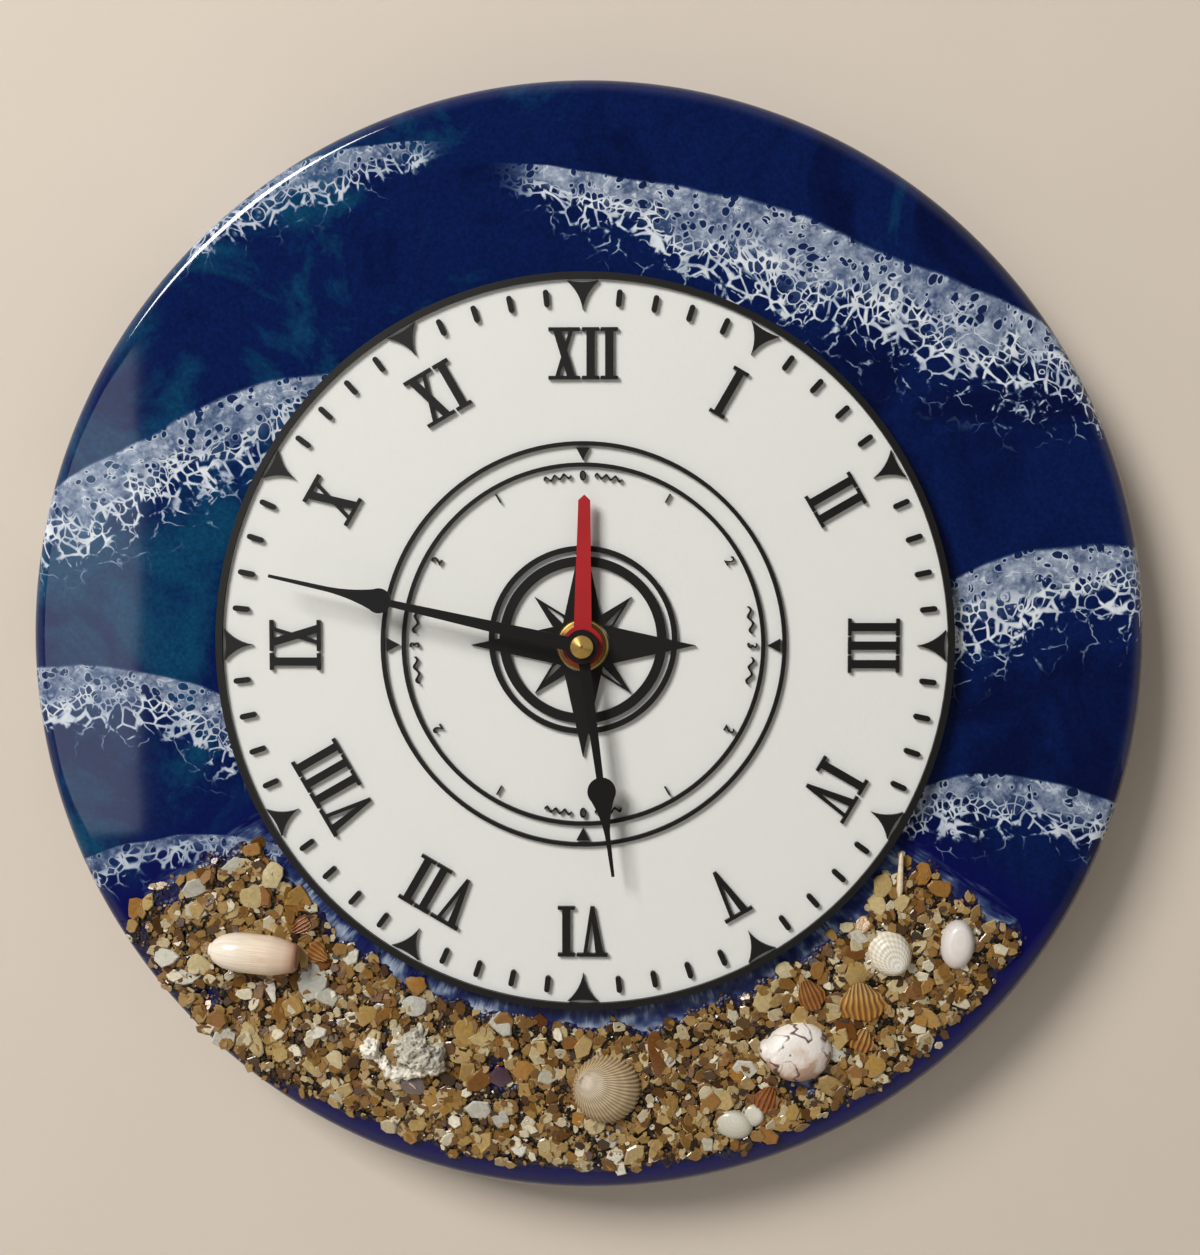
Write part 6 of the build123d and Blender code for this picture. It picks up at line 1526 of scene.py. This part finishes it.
def ripple(bearing, radius, length, waves, swing, stroke, thickness):
    """Raised wavy line that follows the tide ring for a short way."""
    steps = 16 * waves
    vertices = []
    for step in range(steps + 1):
        share = step / steps
        turn = bearing + math.degrees((share - 0.5) * length / radius)
        middle = radius + swing * math.sin(2 * math.pi * waves * share)
        for side in (-1, 1):
            x, z = clock_point(middle + side * stroke / 2, turn)
            vertices.append((x, -DIAL_FRONT, z))
            vertices.append((x, -DIAL_FRONT - thickness, z))
    faces = []
    for step in range(steps):
        here = 4 * step
        after = here + 4
        faces.append((here, here + 1, after + 1, after))
        faces.append((here + 1, here + 3, after + 3, after + 1))
        faces.append((here + 3, here + 2, after + 2, after + 3))
        faces.append((here + 2, here, after, after + 2))
    faces.append((0, 2, 3, 1))
    faces.append((4 * steps, 4 * steps + 1, 4 * steps + 3, 4 * steps + 2))
    return mesh_from("ripple", vertices, faces)


class TIDECLOCK_OT_finish_dial(bpy.types.Operator):
    """Finish the printed dial and add its small figures and ripples"""

    bl_idname = "tideclock.finish_dial"
    bl_label = "Finish Dial"

    def execute(self, context):
        dial = context.scene.tide_clock_dial
        white = printed_pla("printed_white_pla", dial.white, dial.print_pitch, 0.48, 0.035)
        black = printed_pla("printed_black_pla", dial.black, dial.print_pitch, 0.42, 0.30)
        dress(white, "dial_plate")
        dress(black, "dial_rim", "minute_ticks", "hour_markers", "hour_numerals", "tide_rings",
              "tide_pointers", "compass_rose")
        thickness = RELIEF_FRONT - DIAL_FRONT
        hours_from_turn = ("0", "1", "2", "3", "2", "1", "0", "1", "2", "3", "2", "1")
        parts = []
        for step, text in enumerate(hours_from_turn):
            bearing = 30 * step
            place = clock_point(dial.figure_radius, bearing)
            parts.append((figure(text, dial.figure_height, thickness), seat(place, bearing, DIAL_FRONT)))
            if step % 3 == 0:
                waves = 3 if step % 6 == 0 else 2
                for side in (-1, 1):
                    middle = bearing + side * math.degrees(6.9 * MM / dial.figure_radius)
                    wave = ripple(
                        middle, dial.figure_radius, 7.4 * MM, waves, 0.55 * MM, 0.6 * MM, thickness)
                    parts.append((wave, Matrix()))
        add_piece("tide_figures", joined("tide_figures", parts), black, "dial_black")
        return {"FINISHED"}


class TIDECLOCK_OT_finish_hands(bpy.types.Operator):
    """Finish the hands, their nuts and the shafts"""

    bl_idname = "tideclock.finish_hands"
    bl_label = "Finish Hands"

    def execute(self, context):
        dress(sprayed_steel("sprayed_red_steel", "#A81E24", 0.38), "tide_hand")
        dress(sprayed_steel("sprayed_black_steel", "#0F0E0E", 0.36), "hour_hand", "minute_hand")
        dress(turned_metal("turned_brass", "#D2AE66", 0.32, 0.22), "cap_nut", "dial_nut", "shaft_bushing")
        dress(rolled_metal("drawn_steel_arbor", "#BFC1C4", 0.26), "minute_arbor")
        return {"FINISHED"}


class TIDECLOCK_OT_finish_back(bpy.types.Operator):
    """Finish the board's back, the movement and the hanger"""

    bl_idname = "tideclock.finish_back"
    bl_label = "Finish Back"

    def execute(self, context):
        dress(sealed_fibreboard(), "board")
        dress(moulded_plastic("moulded_abs_case", "#1B1B1C", 0.50, 0.05), "case_front", "case_back",
              "setting_knob")
        dress(moulded_plastic("moulded_middle_plate", "#2B2B2D", 0.48, 0.04), "middle_plate")
        dress(moulded_plastic("moulded_acetal_wheel", "#E6E1D4", 0.34, 0.02), "step_wheel", "second_wheel",
              "third_wheel", "centre_wheel", "motion_wheel", "hour_wheel", "tide_idler", "tide_wheel",
              "setting_gear", "rotor", "coil_bobbin")
        dress(moulded_plastic("pressed_rubber", "#161616", 0.70, 0.08), "rubber_gasket")
        dress(moulded_plastic("potting_resin_blob", "#101011", 0.30, 0.05), "chip_blob")
        dress(moulded_plastic("solder_masked_laminate", "#2C5B38", 0.40, 0.03), "circuit_board")
        dress(rolled_metal("zinc_plated_steel", "#B9BCC0", 0.30), "hanger_plate", "hanger_screws")
        dress(rolled_metal("nickel_plated_spring", "#C6C3BA", 0.24), "positive_contact", "negative_contact")
        dress(rolled_metal("drawn_crystal_can", "#BCC0C6", 0.20), "quartz_crystal")
        dress(rolled_metal("soft_iron_lamination", "#7C7C7E", 0.40), "stator", "coil_core")
        dress(rolled_metal("sintered_magnet", "#4A4A4D", 0.46), "rotor_magnet")
        dress(wound_wire(), "coil_winding")
        dress(wrapped_cell(), "battery")
        return {"FINISHED"}


# Painted wall that the clock hangs on: matt, and seen only from its front.
def painted_wall(colour):
    material, tree, place = start_material("painted_wall")
    roller = add_node(tree, "ShaderNodeTexNoise", {"Vector": place, "Scale": 1 / 60, "Detail": 2.0})
    shade = add_node(tree, "ShaderNodeMapRange", {
        "Value": roller, "From Min": 0.3, "From Max": 0.7, "To Min": 0.985, "To Max": 1.0})
    toned = add_node(tree, "ShaderNodeMix", {
        MIX_SHARE: 1.0, COLOUR_A: colour, COLOUR_B: shade}, data_type="RGBA", blend_type="MULTIPLY")
    paint = add_node(tree, "ShaderNodeBsdfDiffuse", {"Color": toned.outputs[MIXED_COLOUR]})
    clear = add_node(tree, "ShaderNodeBsdfTransparent")
    side = add_node(tree, "ShaderNodeNewGeometry")
    shown = add_node(tree, "ShaderNodeMixShader", {0: side.outputs["Backfacing"], 1: paint, 2: clear})
    return close_material(material, shown)


def flat_panel(name, corners, material):
    """One flat panel of the stage."""
    mesh = bpy.data.meshes.new(name)
    mesh.from_pydata(corners, [], [(0, 1, 2, 3)])
    mesh.materials.append(material)
    panel = bpy.data.objects.new(name, mesh)
    bpy.context.scene.collection.objects.link(panel)
    return panel


def area_lamp(name, place, target, width, height, power, colour, mirrored=True):
    """One soft rectangular lamp that faces a target, and shows in glossy pieces if it is mirrored."""
    data = bpy.data.lights.new(name, "AREA")
    data.shape = "RECTANGLE"
    data.size = width
    data.size_y = height
    data.energy = power
    data.color = linear(colour)[:3]
    lamp = bpy.data.objects.new(name, data)
    lamp.location = place
    lamp.rotation_euler = (Vector(target) - Vector(place)).to_track_quat("-Z", "Y").to_euler()
    lamp.visible_camera = False
    lamp.visible_glossy = mirrored
    bpy.context.scene.collection.objects.link(lamp)
    return lamp


def studio_world():
    """Pale world: plain to the camera, faint as light, and dark in front where glossy pieces mirror it."""
    diffuse_strength = 0.13
    camera_strength = 0.85
    world = bpy.data.worlds.new("studio")
    world.use_nodes = True
    tree = world.node_tree
    tree.nodes.clear()
    direction = add_node(tree, "ShaderNodeTexCoord").outputs["Generated"]
    parts = add_node(tree, "ShaderNodeSeparateXYZ", {"Vector": direction})
    room = add_node(tree, "ShaderNodeMapRange", {
        "Value": parts.outputs["Y"], "From Min": -0.95, "From Max": -0.45, "To Min": 0.05, "To Max": 0.55})
    ray = add_node(tree, "ShaderNodeLightPath")
    shiny = add_node(tree, "ShaderNodeMix", {
        MIX_SHARE: ray.outputs["Is Glossy Ray"], NUMBER_A: diffuse_strength, NUMBER_B: room},
        data_type="FLOAT")
    seen = add_node(tree, "ShaderNodeMix", {
        MIX_SHARE: ray.outputs["Is Camera Ray"], NUMBER_A: shiny, NUMBER_B: camera_strength},
        data_type="FLOAT")
    sky = add_node(tree, "ShaderNodeBackground", {"Color": linear("#FAF8F5"), "Strength": seen})
    add_node(tree, "ShaderNodeOutputWorld", {"Surface": sky})
    return world


def aimed_camera(stage, hub):
    """Camera on the clock, whose hub falls a little left of and below the middle of the picture."""
    picture_height = 1255
    pixel = stage.field / picture_height
    right_of_hub = 17.0 * pixel
    above_hub = 17.5 * pixel
    sensor = 36.0
    aim = Vector((right_of_hub, -DIAL_FRONT, above_hub))
    away = Vector((
        math.sin(stage.azimuth) * math.cos(stage.elevation),
        -math.cos(stage.azimuth) * math.cos(stage.elevation),
        math.sin(stage.elevation)))
    data = bpy.data.cameras.new("camera")
    data.sensor_width = sensor
    data.lens = sensor * stage.distance / stage.field
    data.clip_start = 0.01
    camera = bpy.data.objects.new("camera", data)
    camera.location = Vector(hub) + stage.distance * away
    camera.rotation_euler = (aim - camera.location).to_track_quat("-Z", "Y").to_euler()
    bpy.context.scene.collection.objects.link(camera)
    return camera


class TIDECLOCK_OT_set_stage(bpy.types.Operator):
    """Set the wall, the floor, the light and the camera"""

    bl_idname = "tideclock.set_stage"
    bl_label = "Set Stage"

    def execute(self, context):
        stage = context.scene.tide_clock_stage
        reach = 3.0
        behind = 0.4 * MM
        floor_level = -0.9
        wall = flat_panel("wall", [
            (-reach, behind, floor_level), (reach, behind, floor_level), (reach, behind, reach),
            (-reach, behind, reach)], painted_wall(stage.wall))
        wall.visible_diffuse = False
        wall.visible_shadow = False
        flat_panel("floor", [
            (-reach, -reach, floor_level), (reach, -reach, floor_level), (reach, reach, floor_level),
            (-reach, reach, floor_level)], painted_wall(stage.wall))

        hub = (0.0, -DIAL_FRONT, 0.0)
        area_lamp("window", (-1.12, -1.40, 1.19), hub, 0.77, 0.77, 48.5, "#FFFCF8")
        area_lamp("side_window", (-0.72, -1.22, -0.02), hub, 0.40, 0.54, 1.1, "#EAF2FF")
        area_lamp("fill", (0.95, -1.20, 0.20), hub, 1.00, 1.00, 1.2, "#FFFDFA", mirrored=False)
        area_lamp("back_fill", (0.30, 1.40, 0.90), hub, 1.20, 1.20, 14.0, "#FFFFFF")
        context.scene.world = studio_world()
        context.scene.camera = aimed_camera(stage, hub)
        context.scene.view_settings.view_transform = "Standard"
        return {"FINISHED"}


class TIDECLOCK_PT_workshop(bpy.types.Panel):
    """Steps that dress the tide clock, with their settings"""

    bl_idname = "TIDECLOCK_PT_workshop"
    bl_label = "Tide Clock"
    bl_space_type = "VIEW_3D"
    bl_region_type = "UI"
    bl_category = "Tide Clock"

    def draw(self, context):
        scene = context.scene
        steps = (
            ("tideclock.pour_resin", scene.tide_clock_sea),
            ("tideclock.lay_beach", scene.tide_clock_beach),
            ("tideclock.place_shells", None),
            ("tideclock.finish_dial", scene.tide_clock_dial),
            ("tideclock.finish_hands", None),
            ("tideclock.finish_back", None),
            ("tideclock.set_stage", scene.tide_clock_stage),
        )
        for operator, settings in steps:
            box = self.layout.box()
            box.operator(operator)
            if settings is not None:
                for name in settings.__annotations__:
                    box.prop(settings, name)


CLASSES = (
    SeaSettings,
    BeachSettings,
    DialSettings,
    StageSettings,
    TIDECLOCK_OT_pour_resin,
    TIDECLOCK_OT_lay_beach,
    TIDECLOCK_OT_place_shells,
    TIDECLOCK_OT_finish_dial,
    TIDECLOCK_OT_finish_hands,
    TIDECLOCK_OT_finish_back,
    TIDECLOCK_OT_set_stage,
    TIDECLOCK_PT_workshop,
)


def register():
    """Registers the classes and hangs their settings on the scene."""
    for item in CLASSES:
        bpy.utils.register_class(item)
    bpy.types.Scene.tide_clock_sea = PointerProperty(type=SeaSettings)
    bpy.types.Scene.tide_clock_beach = PointerProperty(type=BeachSettings)
    bpy.types.Scene.tide_clock_dial = PointerProperty(type=DialSettings)
    bpy.types.Scene.tide_clock_stage = PointerProperty(type=StageSettings)


def unregister():
    """Takes the settings and the classes away again."""
    del bpy.types.Scene.tide_clock_stage
    del bpy.types.Scene.tide_clock_dial
    del bpy.types.Scene.tide_clock_beach
    del bpy.types.Scene.tide_clock_sea
    for item in reversed(CLASSES):
        bpy.utils.unregister_class(item)


def main():
    """Registers the add-on and runs its steps in order."""
    register()
    bpy.ops.tideclock.pour_resin()
    bpy.ops.tideclock.lay_beach()
    bpy.ops.tideclock.place_shells()
    bpy.ops.tideclock.finish_dial()
    bpy.ops.tideclock.finish_hands()
    bpy.ops.tideclock.finish_back()
    bpy.ops.tideclock.set_stage()


if __name__ == "__main__":
    main()
